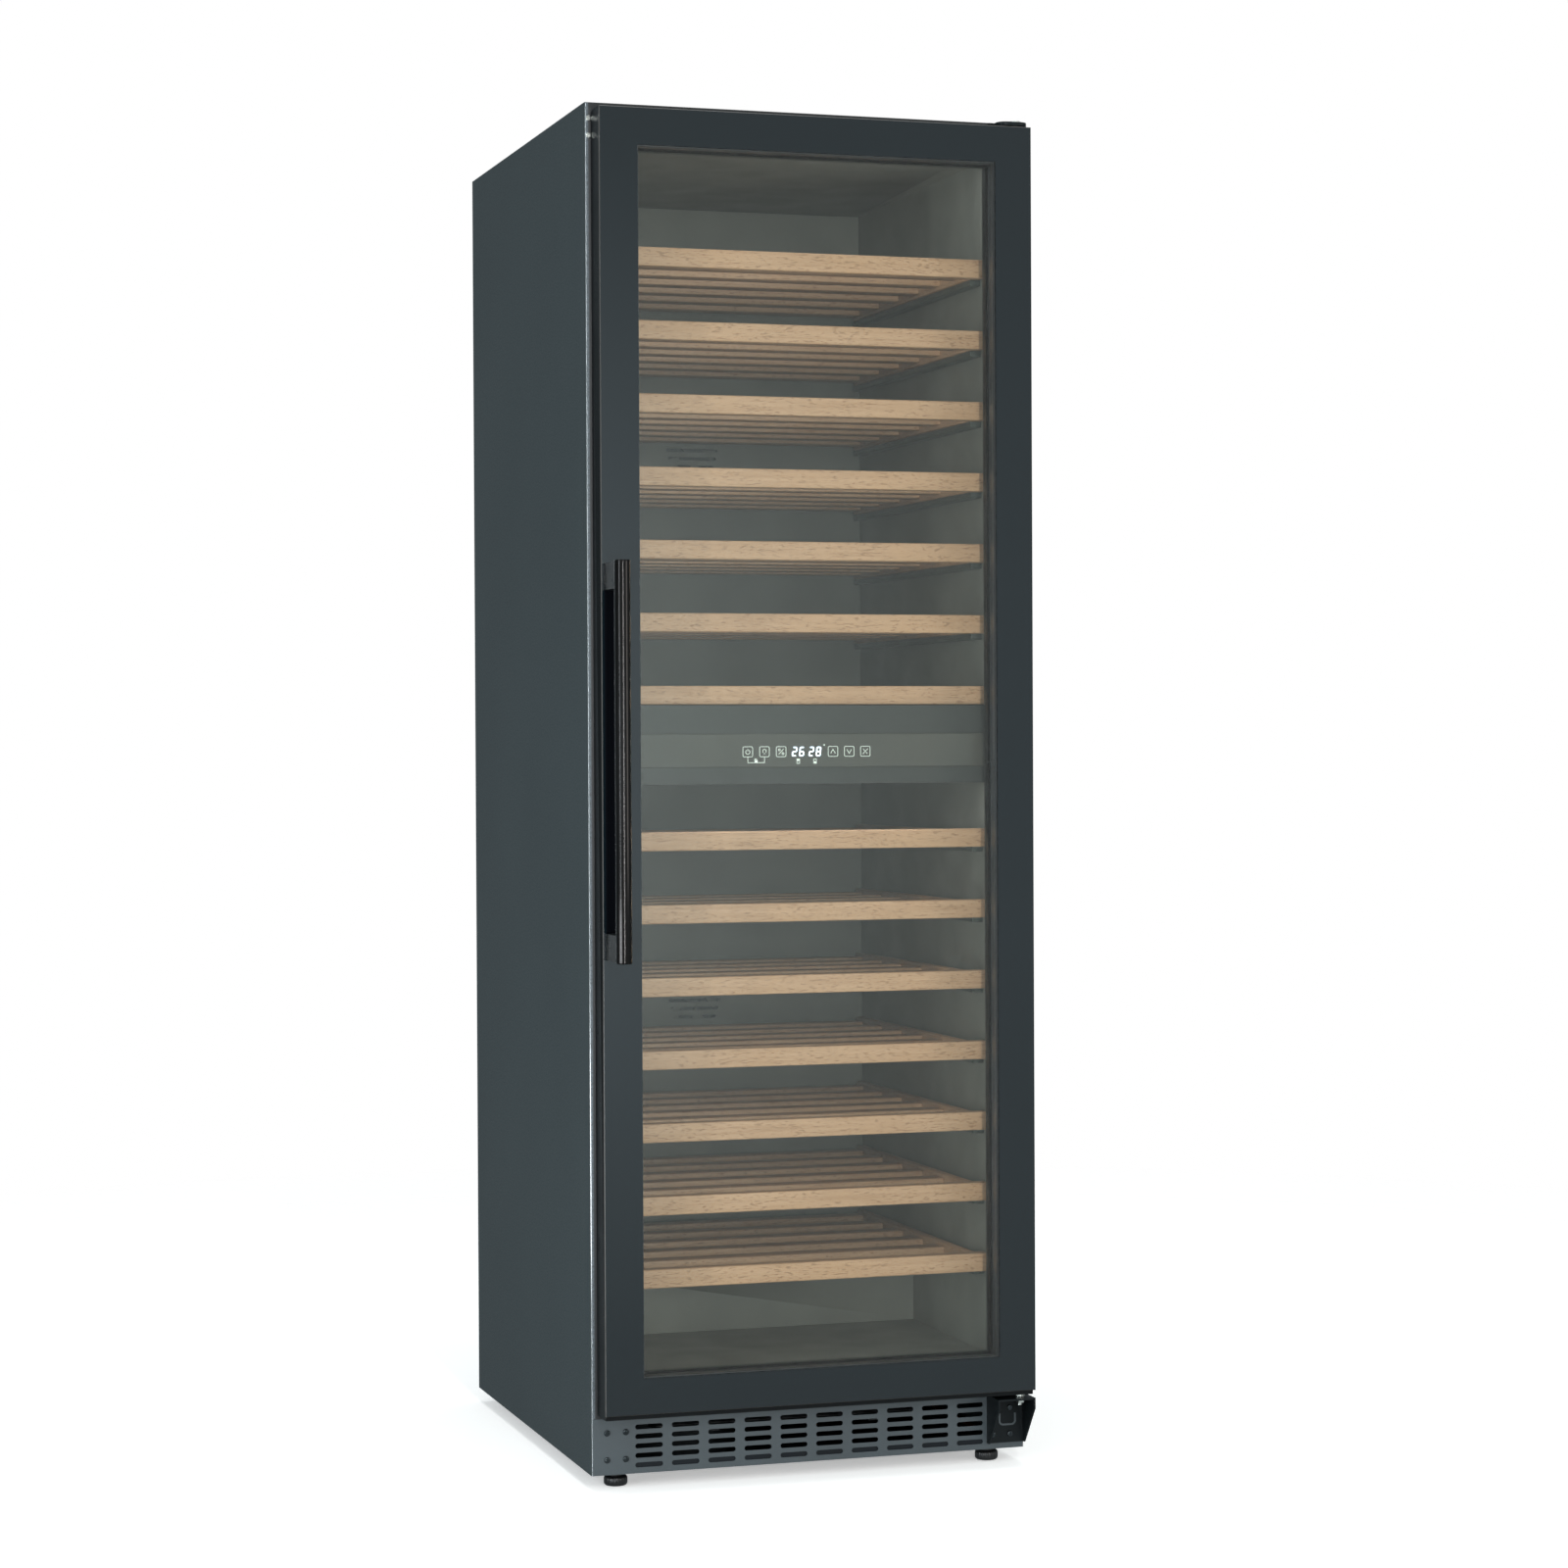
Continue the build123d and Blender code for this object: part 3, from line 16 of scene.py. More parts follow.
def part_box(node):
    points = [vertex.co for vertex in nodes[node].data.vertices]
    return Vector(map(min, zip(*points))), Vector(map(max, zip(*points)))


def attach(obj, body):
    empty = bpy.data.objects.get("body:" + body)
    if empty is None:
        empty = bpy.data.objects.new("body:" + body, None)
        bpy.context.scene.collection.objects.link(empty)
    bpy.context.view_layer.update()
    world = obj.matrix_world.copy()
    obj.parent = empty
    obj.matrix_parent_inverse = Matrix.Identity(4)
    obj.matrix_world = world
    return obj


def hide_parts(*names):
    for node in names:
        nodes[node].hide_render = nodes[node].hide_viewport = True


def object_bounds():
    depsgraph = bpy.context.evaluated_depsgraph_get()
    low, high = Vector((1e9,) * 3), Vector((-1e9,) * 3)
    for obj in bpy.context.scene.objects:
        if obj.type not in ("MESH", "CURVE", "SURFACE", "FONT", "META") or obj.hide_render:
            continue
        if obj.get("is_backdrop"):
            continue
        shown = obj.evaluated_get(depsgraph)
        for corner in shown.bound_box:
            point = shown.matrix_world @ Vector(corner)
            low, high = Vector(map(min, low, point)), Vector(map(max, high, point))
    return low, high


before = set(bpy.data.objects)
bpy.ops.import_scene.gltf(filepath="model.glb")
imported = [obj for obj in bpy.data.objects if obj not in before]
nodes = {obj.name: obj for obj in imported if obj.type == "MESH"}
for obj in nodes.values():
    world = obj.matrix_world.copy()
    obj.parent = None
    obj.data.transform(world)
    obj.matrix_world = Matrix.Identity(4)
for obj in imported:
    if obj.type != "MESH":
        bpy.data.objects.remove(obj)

scene = bpy.context.scene
frame_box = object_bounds()
MM = 0.001
print("the frame measures", [round(side, 4) for side in frame_box[1] - frame_box[0]], "metres")

# %% [markdown]
# ## The camera
# A product camera stands a little to the left, level with the middle of the door, with a long lens, so
# that upright edges stay upright. It could be pointed with a Track To constraint. A matrix made from its
# three directions is used here, because it also holds the tiny roll of a camera on a real tripod.

# %% Camera
CAMERA_PLACE = Vector((-1.4153, -4.6509, 0.9586))
YAW, PITCH, ROLL = (math.radians(angle) for angle in (17.53, -0.63, -0.27))
LENS_MM = 80.67
SENSOR_MM = 36.0

ahead = Vector((math.sin(YAW) * math.cos(PITCH), math.cos(YAW) * math.cos(PITCH), math.sin(PITCH)))
level = Vector((math.cos(YAW), -math.sin(YAW), 0))
upright = level.cross(ahead)
rightward = level * math.cos(ROLL) + upright * math.sin(ROLL)
upward = upright * math.cos(ROLL) - level * math.sin(ROLL)
turned = Matrix((rightward, upward, -ahead)).transposed().to_4x4()

camera = bpy.data.objects.new("camera", bpy.data.cameras.new("camera"))
camera.data.lens = LENS_MM
camera.data.sensor_width = SENSOR_MM
camera.matrix_world = Matrix.Translation(CAMERA_PLACE) @ turned
scene.collection.objects.link(camera)
scene.camera = camera
scene.view_settings.view_transform = "Standard"
print("camera at", [round(value, 3) for value in camera.location])

# %% [markdown]
# ## Shader maths
# A material is a small network of nodes. Long networks are hard to read when each node and link is
# written out, so one class wraps a socket: adding or multiplying two wires puts in a Math node. Every
# other node comes from its `node` method, which sets the node up and then fills its sockets.

# %% The wire class
class Wire:
    """One output socket of a node tree; arithmetic on it adds Math nodes."""

    def __init__(self, tree, socket=None):
        self.tree = tree
        self.socket = socket

    def node(self, kind, settings, sockets, out=0):
        """A node of this kind, set up, with values or links in its sockets; gives its output."""
        made = self.tree.nodes.new("ShaderNode" + kind)
        for name, value in settings.items():
            if name == "stops":
                ramp = made.color_ramp.elements
                while len(ramp) < len(value):
                    ramp.new(1.0)
                for element, (place, colour) in zip(ramp, value):
                    element.position = place
                    element.color = colour
            else:
                setattr(made, name, value)
        for name, value in sockets.items():
            if isinstance(value, Wire):
                self.tree.links.new(value.socket, made.inputs[name])
            else:
                made.inputs[name].default_value = value
        return Wire(self.tree, made.outputs[out] if len(made.outputs) else None)

    def principled(self, sockets):
        """Blender's all-round shader with these sockets."""
        return self.node("BsdfPrincipled", {}, sockets)

    def maths(self, operation, first, second):
        return self.node("Math", {"operation": operation}, {0: first, 1: second})

    def __add__(self, other):
        return self.maths("ADD", self, other)

    def __sub__(self, other):
        return self.maths("SUBTRACT", self, other)

    def __rsub__(self, other):
        return self.maths("SUBTRACT", other, self)

    def __mul__(self, other):
        return self.maths("MULTIPLY", self, other)

    def __pow__(self, other):
        return self.maths("POWER", self, other)

    def __abs__(self):
        return self.maths("ABSOLUTE", self, 0.0)

    __radd__ = __add__
    __rmul__ = __mul__


# %% [markdown]
# Colours are easiest to pick as the 0 to 255 numbers of a paint chart, but shaders work with linear
# light, so each colour is converted once. Nearly every finish needs the other helpers below: the place on
# the piece, soft random patterns, a step from one value to another, a blend of colours, and bumps.

# %% Colours and patterns
def paint(red, green, blue):
    """A paint chart colour as the linear colour that a socket takes."""
    shares = [value / 255 for value in (red, green, blue)]
    linear = [s / 12.92 if s <= 0.04045 else ((s + 0.055) / 1.055) ** 2.4 for s in shares]
    return (*linear, 1.0)


def place_on_piece(wire, stretch=(1, 1, 1)):
    """Where a point lies on the piece, in metres, stretched along the three axes."""
    place = wire.node("TexCoord", {}, {}, out="Object")
    return wire.node("VectorMath", {"operation": "MULTIPLY"}, {0: place, 1: stretch})


def one_axis(wire, vector, axis):
    """The X, Y or Z of a vector."""
    return wire.node("SeparateXYZ", {}, {"Vector": vector}, out=axis)


def noise(wire, place, scale, detail=2.0, roughness=0.5):
    """A soft random value from 0 to 1."""
    sockets = {"Vector": place, "Scale": scale, "Detail": detail, "Roughness": roughness}
    return wire.node("TexNoise", {}, sockets)


def cells(wire, place, scale, feature="F1"):
    """The distance from the nearest of many scattered points."""
    return wire.node("TexVoronoi", {"feature": feature}, {"Vector": place, "Scale": scale})


def band(wire, value, low, high, start=0.0, end=1.0):
    """value, carried from the range low..high to the range start..end and held there."""
    sockets = {"Value": value, "From Min": low, "From Max": high, "To Min": start, "To Max": end}
    return wire.node("MapRange", {"clamp": True}, sockets)


def blend(wire, share, first, second):
    """The first colour where share is 0, the second where it is 1."""
    return wire.node("Mix", {"data_type": "RGBA"}, {0: share, 6: first, 7: second}, out=2)


def bumps(wire, height, strength, depth):
    """A Normal that makes the surface look raised where height is large."""
    return wire.node("Bump", {}, {"Height": height, "Strength": strength, "Distance": depth})


# %% A material from a recipe
def finish(name, recipe):
    """A material called name, whose shader the recipe builds."""
    material = bpy.data.materials.new(name)
    material.use_nodes = True
    material.node_tree.nodes.clear()
    wire = Wire(material.node_tree)
    wire.node("OutputMaterial", {}, {"Surface": recipe(wire)})
    print("finish", name, "has", len(material.node_tree.nodes), "nodes")
    return material


# %% [markdown]
# ## Room and floor
# Black glass shows the room more than itself. A bright, nearly even room gives the dark glass its soft
# grey. It falls off from front to back, which keeps the sides from going flat, and a little to the
# right, up and down, so that the door isn't one even tone. The floor is a pale disc that fades out at its
# rim, so that no horizon line crosses the picture. It glows a little for the camera alone, which makes it
# nearly white without lighting the cooler from below, and glossy parts mirror the plain room instead.

# %% Room light
ROOM_FRONT = (1.34, 1.52, 1.58, 1.0)
ROOM_FRONT_RIGHT = (0.74, 0.82, 0.84, 1.0)
ROOM_HIGH_AND_LOW = (0.66, 0.72, 0.73, 1.0)
ROOM_BACK = (0.24, 0.28, 0.30, 1.0)

world = bpy.data.worlds.new("room")
scene.world = world
world.use_nodes = True
world.node_tree.nodes.clear()
sky = Wire(world.node_tree)
direction = sky.node("TexCoord", {}, {}, out="Generated")
depth = one_axis(sky, direction, "Y")
aside = one_axis(sky, direction, "X")
front_wall = blend(sky, band(sky, aside, 0.25, 0.36), ROOM_FRONT, ROOM_FRONT_RIGHT)
slope = abs(one_axis(sky, direction, "Z"))
front_light = blend(sky, band(sky, slope, 0.05, 0.17), front_wall, ROOM_HIGH_AND_LOW)
room = blend(sky, band(sky, depth, -0.75, 0.6), front_light, ROOM_BACK)
seen = sky.node("LightPath", {}, {}, out="Is Camera Ray")
shown = blend(sky, seen, room, (1.0, 1.0, 1.0, 1.0))
light = sky.node("Background", {}, {"Color": shown, "Strength": 1.0})
sky.node("OutputWorld", {}, {"Surface": light})
print("room light made")

# %% Floor
FLOOR_RADIUS = 3.2
FLOOR_EDGE_START = 1.2
FLOOR_DROP = 0.5 * MM
FLOOR_GLOW = (0.40, 0.40, 0.40, 1.0)


def floor_recipe(wire):
    place = wire.node("TexCoord", {}, {}, out="Object")
    away = wire.node("VectorMath", {"operation": "LENGTH"}, {0: place}, out="Value")
    gone = band(wire, away, FLOOR_EDGE_START, FLOOR_RADIUS)
    grain = noise(wire, place, 40.0)
    colour = blend(wire, grain, paint(246, 245, 243), paint(250, 249, 247))
    seen = wire.node("LightPath", {}, {}, out="Is Camera Ray")
    glow = {"Emission Color": blend(wire, seen, (0, 0, 0, 1), FLOOR_GLOW), "Emission Strength": 1.0}
    solid = wire.principled({"Base Color": colour, "Roughness": 0.7, **glow})
    clear = wire.node("BsdfTransparent", {}, {})
    return wire.node("MixShader", {}, {0: gone, 1: solid, 2: clear})


disc = bmesh.new()
bmesh.ops.create_circle(disc, cap_ends=True, radius=FLOOR_RADIUS, segments=96)
floor_mesh = bpy.data.meshes.new("floor")
disc.to_mesh(floor_mesh)
disc.free()
floor = bpy.data.objects.new("floor", floor_mesh)
floor.location.z = frame_box[0].z - FLOOR_DROP
floor_mesh.materials.append(finish("pale_floor", floor_recipe))
floor.visible_glossy = False
scene.collection.objects.link(floor)
floor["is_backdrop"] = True

# %% [markdown]
# Two narrow upright lamps give the round handle its bright lines and draw a thin glint down the folded
# edge of the left side. A round bar mirrors a lamp halfway between the lamp and the camera, so each line
# is moved by moving its lamp. A wide lamp at the right brings out the wood and the grille, a low one
# keeps the foot of the side from going dark, and a panel overhead lights the floor. All stand where the
# flat glass doesn't mirror them, and the camera itself doesn't see them.

# %% Lamps in the room
def lamp(name, place, aim, width, height, power, colour=(1.0, 1.0, 1.0)):
    """A flat lamp at place, facing aim."""
    made = bpy.data.objects.new(name, bpy.data.lights.new(name, "AREA"))
    made.data.shape = "RECTANGLE"
    made.data.size = width
    made.data.size_y = height
    made.data.energy = power
    made.data.color = colour
    made.location = place
    made.rotation_euler = (Vector(aim) - Vector(place)).to_track_quat("-Z", "Y").to_euler()
    made.visible_camera = False
    scene.collection.objects.link(made)


NARROW = 0.12
COOL, COOLER, WARM = (0.92, 0.97, 1.0), (0.86, 0.94, 1.0), (1.0, 0.95, 0.90)

lamp("handle_lamp", (-0.48, -4.4, 1.0), (-0.28, -0.38, 0.95), NARROW, 3.4, 130)
lamp("edge_lamp", (-3.1, -2.0, 1.0), (-0.3, -0.28, 0.9), NARROW, 3.6, 66, COOLER)
lamp("front_fill", (3.3, -3.4, 1.35), (0, -0.3, 1.1), 1.4, 2.6, 56, WARM)
lamp("low_side_fill", (-1.9, -1.2, 0.2), (-0.3, -0.15, 0.1), 1.4, 0.4, 18, COOL)
lamp("overhead_panel", (0, 0, 4.5), (0, 0, 0), 3.0, 3.0, 70)
print("lamps made")

# %% [markdown]
# ## Making pieces
# Most pieces here are bent sheets, bars and rings. They are built as bmesh, Blender's editable mesh: a
# section is placed as a loop of points, and `join_loops` puts faces between one loop and the next.
# `add_piece` turns the mesh into an object that rides on a body of the frame and replaces the plain solid.

# %% Loops of points
def join_loops(shape, one, other, material=0):
    """A ring of faces between two closed loops of points."""
    for index in range(len(one)):
        after = (index + 1) % len(one)
        face = shape.faces.new((one[index], one[after], other[after], other[index]))
        face.material_index = material


def rectangle(shape, x0, x1, z0, z1, y):
    """Four corner points of an upright rectangle."""
    return [shape.verts.new((x, y, z)) for x, z in ((x0, z0), (x1, z0), (x1, z1), (x0, z1))]


# %% Add a piece
def add_piece(name, shape, finishes, body, stands_for=(), sharp=35):
    """A mesh piece that rides on a body and replaces the nodes it stands for."""
    mesh = bpy.data.meshes.new(name)
    bmesh.ops.recalc_face_normals(shape, faces=shape.faces)
    shape.to_mesh(mesh)
    shape.free()
    for material in finishes:
        mesh.materials.append(material)
    mesh.shade_smooth()
    mesh.set_sharp_from_angle(angle=math.radians(sharp))
    piece = bpy.data.objects.new(name, mesh)
    scene.collection.objects.link(piece)
    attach(piece, body)
    if stands_for:
        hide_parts(*stands_for)
    print(name, "has", len(mesh.polygons), "faces")


# %% Dress a node of the frame
JOIN_WITHIN = 0.01 * MM
FLAT_WITHIN = math.radians(0.5)
ROUND_FROM = math.radians(40)
FLAT_FACES_FIRST = 100


def dress(names, material, edge=0.4 * MM, rounds=2):
    """Gives nodes of the frame their finish, and eases their edges with modifiers."""
    for name in names:
        mesh = nodes[name].data
        mesh.materials.clear()
        mesh.materials.append(material)
        if "custom_normal" in mesh.attributes:
            mesh.attributes.remove(mesh.attributes["custom_normal"])
        mesh.shade_smooth()
        join = nodes[name].modifiers.new("join", "WELD")
        join.merge_threshold = JOIN_WITHIN
        flat = nodes[name].modifiers.new("flat", "DECIMATE")
        flat.decimate_type = "DISSOLVE"
        flat.angle_limit = FLAT_WITHIN
        ease = nodes[name].modifiers.new("ease", "BEVEL")
        ease.width = edge
        ease.segments = rounds
        ease.limit_method = "ANGLE"
        ease.angle_limit = ROUND_FROM
        even = nodes[name].modifiers.new("even", "WEIGHTED_NORMAL")
        even.weight = FLAT_FACES_FIRST
    print("dressed", ", ".join(names))


# %% [markdown]
# ## Steel shell
# The cabinet's outside is thin steel with a baked paint that has a fine pebbled skin. Up close the skin is
# rounded grains about a millimetre across; from far away it only breaks up the gloss. Scattered cells with
# a smooth fall-off give the grains, and a slow noise gives the faint clouds of a painted sheet. The
# hollows between grains get a painted shade. The faces turned to the front are painted lighter than the
# sides, a painted light with a speckle in it, and the fold between them is the glossiest. The object's own
# normal tells the recipe which way a face is turned. The painted light is only as wide as what the door
# leaves open; behind it the door's shadow is painted on the flange as a dark band.

# %% Pebbled paint
# Only the flange beyond this distance from the middle keeps the painted light; inside it the door's shadow
# is painted.
LIT_FLANGE = (292.0 * MM, 294.0 * MM)
SIDE_SHADES = paint(43, 51, 53), paint(37, 45, 47)
# Painted light: front faces get these lighter, speckled colours in place of the side colours.
LIT_FRONT_SPECKLE = paint(47, 54, 58), paint(86, 95, 101)
# Painted shade: the first is the door's shadow on the inner flange, the second the shade in the hollows
# between grains.
PAINTED_DOOR_SHADOW, PAINTED_PORE_SHADOW = paint(13, 16, 18), paint(6, 9, 10)
PEBBLES_PER_METRE = 900
PEBBLE_DEPTH = 0.12 * MM


def pebbled_paint(wire):
    place = place_on_piece(wire)
    clouds = noise(wire, place, 5.0, 3.0)
    pebbles = cells(wire, place, PEBBLES_PER_METRE, "SMOOTH_F1")
    speckle = noise(wire, place, PEBBLES_PER_METRE * 0.5)
    facing = wire.node("TexCoord", {}, {}, out="Normal")
    turned = one_axis(wire, facing, "Y")
    # 1 where the flange lies outside the door's painted shadow.
    out_of_door_shadow = band(wire, abs(one_axis(wire, place, "X")), *LIT_FLANGE)
    # Faces turned to the front, which get the painted light.
    front_lit_mask = band(wire, turned, -0.75, -0.97)
    fold = band(wire, turned, -0.25, -0.6) * (1 - front_lit_mask)
    side_shade = blend(wire, clouds, *SIDE_SHADES)
    lit_front_speckle = blend(wire, band(wire, speckle, 0.36, 0.62), *LIT_FRONT_SPECKLE)
    front_light_and_shadow = blend(wire, out_of_door_shadow, PAINTED_DOOR_SHADOW, lit_front_speckle)
    shade = blend(wire, front_lit_mask, side_shade, front_light_and_shadow)
    # Painted shade in the hollows between the grains.
    lit = blend(wire, band(wire, pebbles, 0.2, 0.9, 0.0, 0.35), shade, PAINTED_PORE_SHADOW)
    rough = band(wire, speckle, 0.3, 0.7, 0.45, 0.57)
    bumpy = bumps(wire, pebbles * -1.0 + speckle * 0.4, 0.5, PEBBLE_DEPTH)
    sockets = {"Base Color": lit, "Roughness": rough, "Normal": bumpy, "Coat Weight": fold}
    steady = {"Specular IOR Level": 0.35, "Coat Roughness": 0.12, "Coat IOR": 2.4}
    return wire.principled({**steady, **sockets})


shell_paint = finish("shell_paint", pebbled_paint)

# %% [markdown]
# Each side of the cabinet is one sheet folded round the front corner. The fold of a real sheet is never
# sharp, and its small radius is what catches the light all the way down. The sheet is drawn as its
# outline from above, an L with a rounded corner, then raised to its height; the front face is cut off at
# a slant at the top, where it meets the top panel, and stops short at the bottom for the grille.

# %% Side sheets
SHEET = 1.0 * MM
FOLD_RADIUS = 2.6 * MM
FLANGE_WIDTH = 36.0 * MM
FLANGE_HEIGHT = 43.4 * MM
FLANGE_BOTTOM = 93.5 * MM
FOLD_STEPS = 6

side_low, side_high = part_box("side_panel_right")
front_y, back_y = side_low.y, side_high.y


def folded_side(side):
    """The L-shaped sheet on one side of the cabinet, as a shell one sheet thick."""
    shape = bmesh.new()
    corner_x = side_high.x
    columns = [(corner_x - FLANGE_WIDTH, front_y, True), (corner_x - FOLD_RADIUS, front_y, True)]
    for step in range(1, FOLD_STEPS + 1):
        turn = math.pi / 2 * step / FOLD_STEPS
        x = corner_x - FOLD_RADIUS * (1 - math.sin(turn))
        y = front_y + FOLD_RADIUS * (1 - math.cos(turn))
        columns.append((x, y, False))
    columns.append((corner_x, back_y, False))
    grid = []
    for x, y, _ in columns:
        slant = (corner_x - x) * FLANGE_HEIGHT / FLANGE_WIDTH
        heights = (side_low.z, FLANGE_BOTTOM, side_high.z - slant)
        grid.append([shape.verts.new((side * x, y, z)) for z in heights])
    for index in range(1, len(grid)):
        left, right = grid[index - 1], grid[index]
        on_flange = columns[index][2] and columns[index - 1][2]
        for row in (1,) if on_flange else (0, 1):
            shape.faces.new((left[row], right[row], right[row + 1], left[row + 1]))
    loose = [vertex for vertex in shape.verts if not vertex.link_faces]
    bmesh.ops.delete(shape, geom=loose, context="VERTS")
    bmesh.ops.recalc_face_normals(shape, faces=shape.faces)
    outward = Vector((side, 0, 0))
    wall = max(shape.faces, key=lambda face: face.calc_area())
    if wall.normal.dot(outward) < 0:
        bmesh.ops.reverse_faces(shape, faces=shape.faces)
    bmesh.ops.solidify(shape, geom=shape.faces, thickness=SHEET)
    return shape


for side, word in ((-1, "left"), (1, "right")):
    add_piece(f"side_sheet_{word}", folded_side(side), [shell_paint], "cabinet",
              [f"side_panel_{word}"])

dress(["top_panel"], shell_paint, 0.45 * MM, 3)

# %% [markdown]
# ## Plain painted and moulded parts
# Many small parts share a few finishes. A satin powder coat has a fine even grain, and moulded plastic is
# smoother with faint clouds in its gloss. One recipe with different numbers serves them all: two close
# colours, the size of the grain, and how deep it is. The numbers stand in a table, so a new finish is one
# more row; a node group with inputs would share a recipe between files.

# %% Grained finishes
def grained(colour, other, grain, relief, rough, metal=0.0, coat=0.0, shine=0.5):
    """A recipe for a finish with a fine grain; grain is in waves per metre."""

    def recipe(wire):
        place = place_on_piece(wire)
        clouds = noise(wire, place, 14.0, 4.0)
        fine = noise(wire, place, grain, 3.0)
        shade = blend(wire, band(wire, clouds, 0.3, 0.7), colour, other)
        surface = band(wire, clouds + fine * 0.6, 0.5, 1.1, rough - 0.06, rough + 0.06)
        sockets = {"Base Color": shade, "Roughness": surface, "Normal": bumps(wire, fine, 0.4, relief)}
        steady = {"Metallic": metal, "Coat Weight": coat, "Specular IOR Level": shine}
        return wire.principled({**steady, **sockets})

    return recipe


# %% Finishes from a table
plain = {}


def add_plain(table):
    """Each row: main colour, other colour, grain, its depth in millimetres, roughness, extras."""
    for name, (colour, other, grain, depth, rough, extras) in table.items():
        recipe = grained(paint(*colour), paint(*other), grain, depth * MM, rough, **extras)
        plain[name] = finish(name, recipe)


add_plain({
    "powder_coat": ((49, 57, 61), (41, 49, 53), 1400, 0.05, 0.42, {}),
    "hinge_coat": ((14, 19, 21), (9, 13, 15), 1200, 0.05, 0.4, {"shine": 0.12}),
    "base_coat": ((12, 17, 22), (8, 12, 16), 900, 0.04, 0.4, {"shine": 0.15}),
    "back_paint": ((46, 49, 50), (39, 42, 43), 700, 0.04, 0.5, {}),
    "door_paint": ((9, 11, 12), (6, 8, 9), 1600, 0.02, 0.3, {"shine": 0.1}),
    "foot_plastic": ((11, 11, 12), (17, 17, 18), 700, 0.03, 0.35, {"shine": 0.3}),
    "black_plastic": ((24, 26, 27), (19, 21, 22), 1100, 0.03, 0.45, {}),
    "liner_plastic": ((122, 119, 112), (109, 106, 100), 900, 0.01, 0.5, {}),
    "divider_plastic": ((30, 28, 26), (25, 24, 22), 900, 0.01, 0.5, {}),
    "rail_plastic": ((60, 64, 60), (50, 55, 51), 900, 0.04, 0.42, {}),
    "gloss_plastic": ((72, 67, 62), (66, 62, 57), 300, 0.004, 0.16, {}),
    "rubber": ((20, 20, 20), (30, 30, 29), 800, 0.05, 0.7, {}),
    "enamel": ((13, 14, 15), (20, 20, 21), 260, 0.02, 0.2, {"coat": 0.5}),
    "dark_steel": ((40, 42, 44), (30, 31, 33), 500, 0.03, 0.35, {"coat": 0.3}),
})

# %% [markdown]
# ## Metals
# Sheet dipped in zinc freezes into flat crystals, the spangle, each with its own tone; random cells show
# that on the brackets of the rollers. Screws and pins have a thin plated skin, and copper tube goes dull
# brown in patches. All of them are metals, so the base colour is what they mirror, and the roughness
# decides how sharply. The rest of them use the grained recipe again, made metallic.

# %% Metal finishes
def spangled(wire):
    place = place_on_piece(wire)
    crystals = wire.node("TexVoronoi", {}, {"Vector": place, "Scale": 160.0}, out="Color")
    tone = wire.node("SeparateColor", {}, {"Color": crystals}, out=0)
    smudge = noise(wire, place, 9.0, 4.0)
    colour = blend(wire, tone, paint(96, 104, 110), paint(128, 135, 140))
    dulled = blend(wire, band(wire, smudge, 0.45, 0.8, 0.0, 0.5), colour, paint(74, 80, 84))
    rough = band(wire, tone + smudge * 0.5, 0.2, 1.3, 0.32, 0.55)
    sockets = {"Base Color": dulled, "Roughness": rough, "Normal": bumps(wire, tone, 0.25, 0.02 * MM)}
    return wire.principled({"Metallic": 1.0, **sockets})


zinc_sheet = finish("zinc_sheet", spangled)
add_plain({
    "dark_screw": ((66, 71, 74), (40, 44, 46), 900, 0.02, 0.2, {"metal": 1.0}),
    "bright_pin": ((196, 200, 196), (160, 164, 160), 500, 0.02, 0.25, {"metal": 1.0}),
    "post_metal": ((30, 29, 29), (22, 22, 22), 900, 0.02, 0.3, {"metal": 1.0}),
    "copper": ((176, 104, 66), (122, 72, 48), 220, 0.02, 0.3, {"metal": 1.0}),
    "cool_plate": ((190, 194, 196), (168, 173, 176), 300, 0.03, 0.4, {"metal": 0.8}),
})

# %% Dress the base and the machinery
# Each row: finish, width of the eased edge in millimetres, its steps, nodes.
COATS = (
    ("back_paint", 0.3, 2, ["rear_panel"]),
    ("base_coat", 0.3, 2, ["base_frame"]),
    ("powder_coat", 0.35, 3, ["kick_grille"]),
    ("hinge_coat", 0.5, 3, ["lower_hinge_bracket", "upper_hinge_bracket"]),
    ("bright_pin", 0.4, 2, ["hinge_pins"]),
    ("dark_screw", 0.25, 2, ["panel_screws", "handle_screws"]),
    ("bright_pin", 0.2, 2, ["hole_plugs"]),
    ("enamel", 1.2, 3, ["compressor"]),
    ("rubber", 1.0, 2, ["compressor_mounts"]),
    ("dark_steel", 0.3, 2, ["condenser"]),
    ("copper", 0.3, 2, ["refrigerant_pipes"]),
    ("cool_plate", 0.4, 2, ["evaporators"]),
    ("black_plastic", 0.5, 2, ["drain_tray", "power_inlet"]),
    ("black_plastic", 0.5, 2, ["condenser_fan_shroud", "condenser_fan_rotor"]),
    ("black_plastic", 0.4, 2, ["fan_shrouds", "fan_rotor_upper", "fan_rotor_lower"]),
    ("black_plastic", 0.4, 2, ["roller_left", "roller_right"]),
)

for coat, edge, rounds, names in COATS:
    dress(names, plain[coat], edge * MM, rounds)
dress(["roller_brackets"], zinc_sheet, 0.3 * MM)

# %% [markdown]
# ## Foam and circuit board
# Foamed insulation is a pale froth that has set, full of small round pores. The board behind the touch
# strip is green lacquer over copper tracks. Both are almost hidden, but an opened cabinet shows them, so
# they get a true finish as well: pores from cells, tracks from a brick pattern.

# %% Foam and board finishes
def foamed(wire):
    place = place_on_piece(wire)
    pores = cells(wire, place, 420.0)
    swell = noise(wire, place, 18.0, 4.0)
    colour = blend(wire, band(wire, pores, 0.05, 0.6), paint(170, 142, 92), paint(226, 205, 158))
    sockets = {"Base Color": colour, "Normal": bumps(wire, pores + swell, 0.8, 0.4 * MM)}
    return wire.principled({"Roughness": 0.9, **sockets})


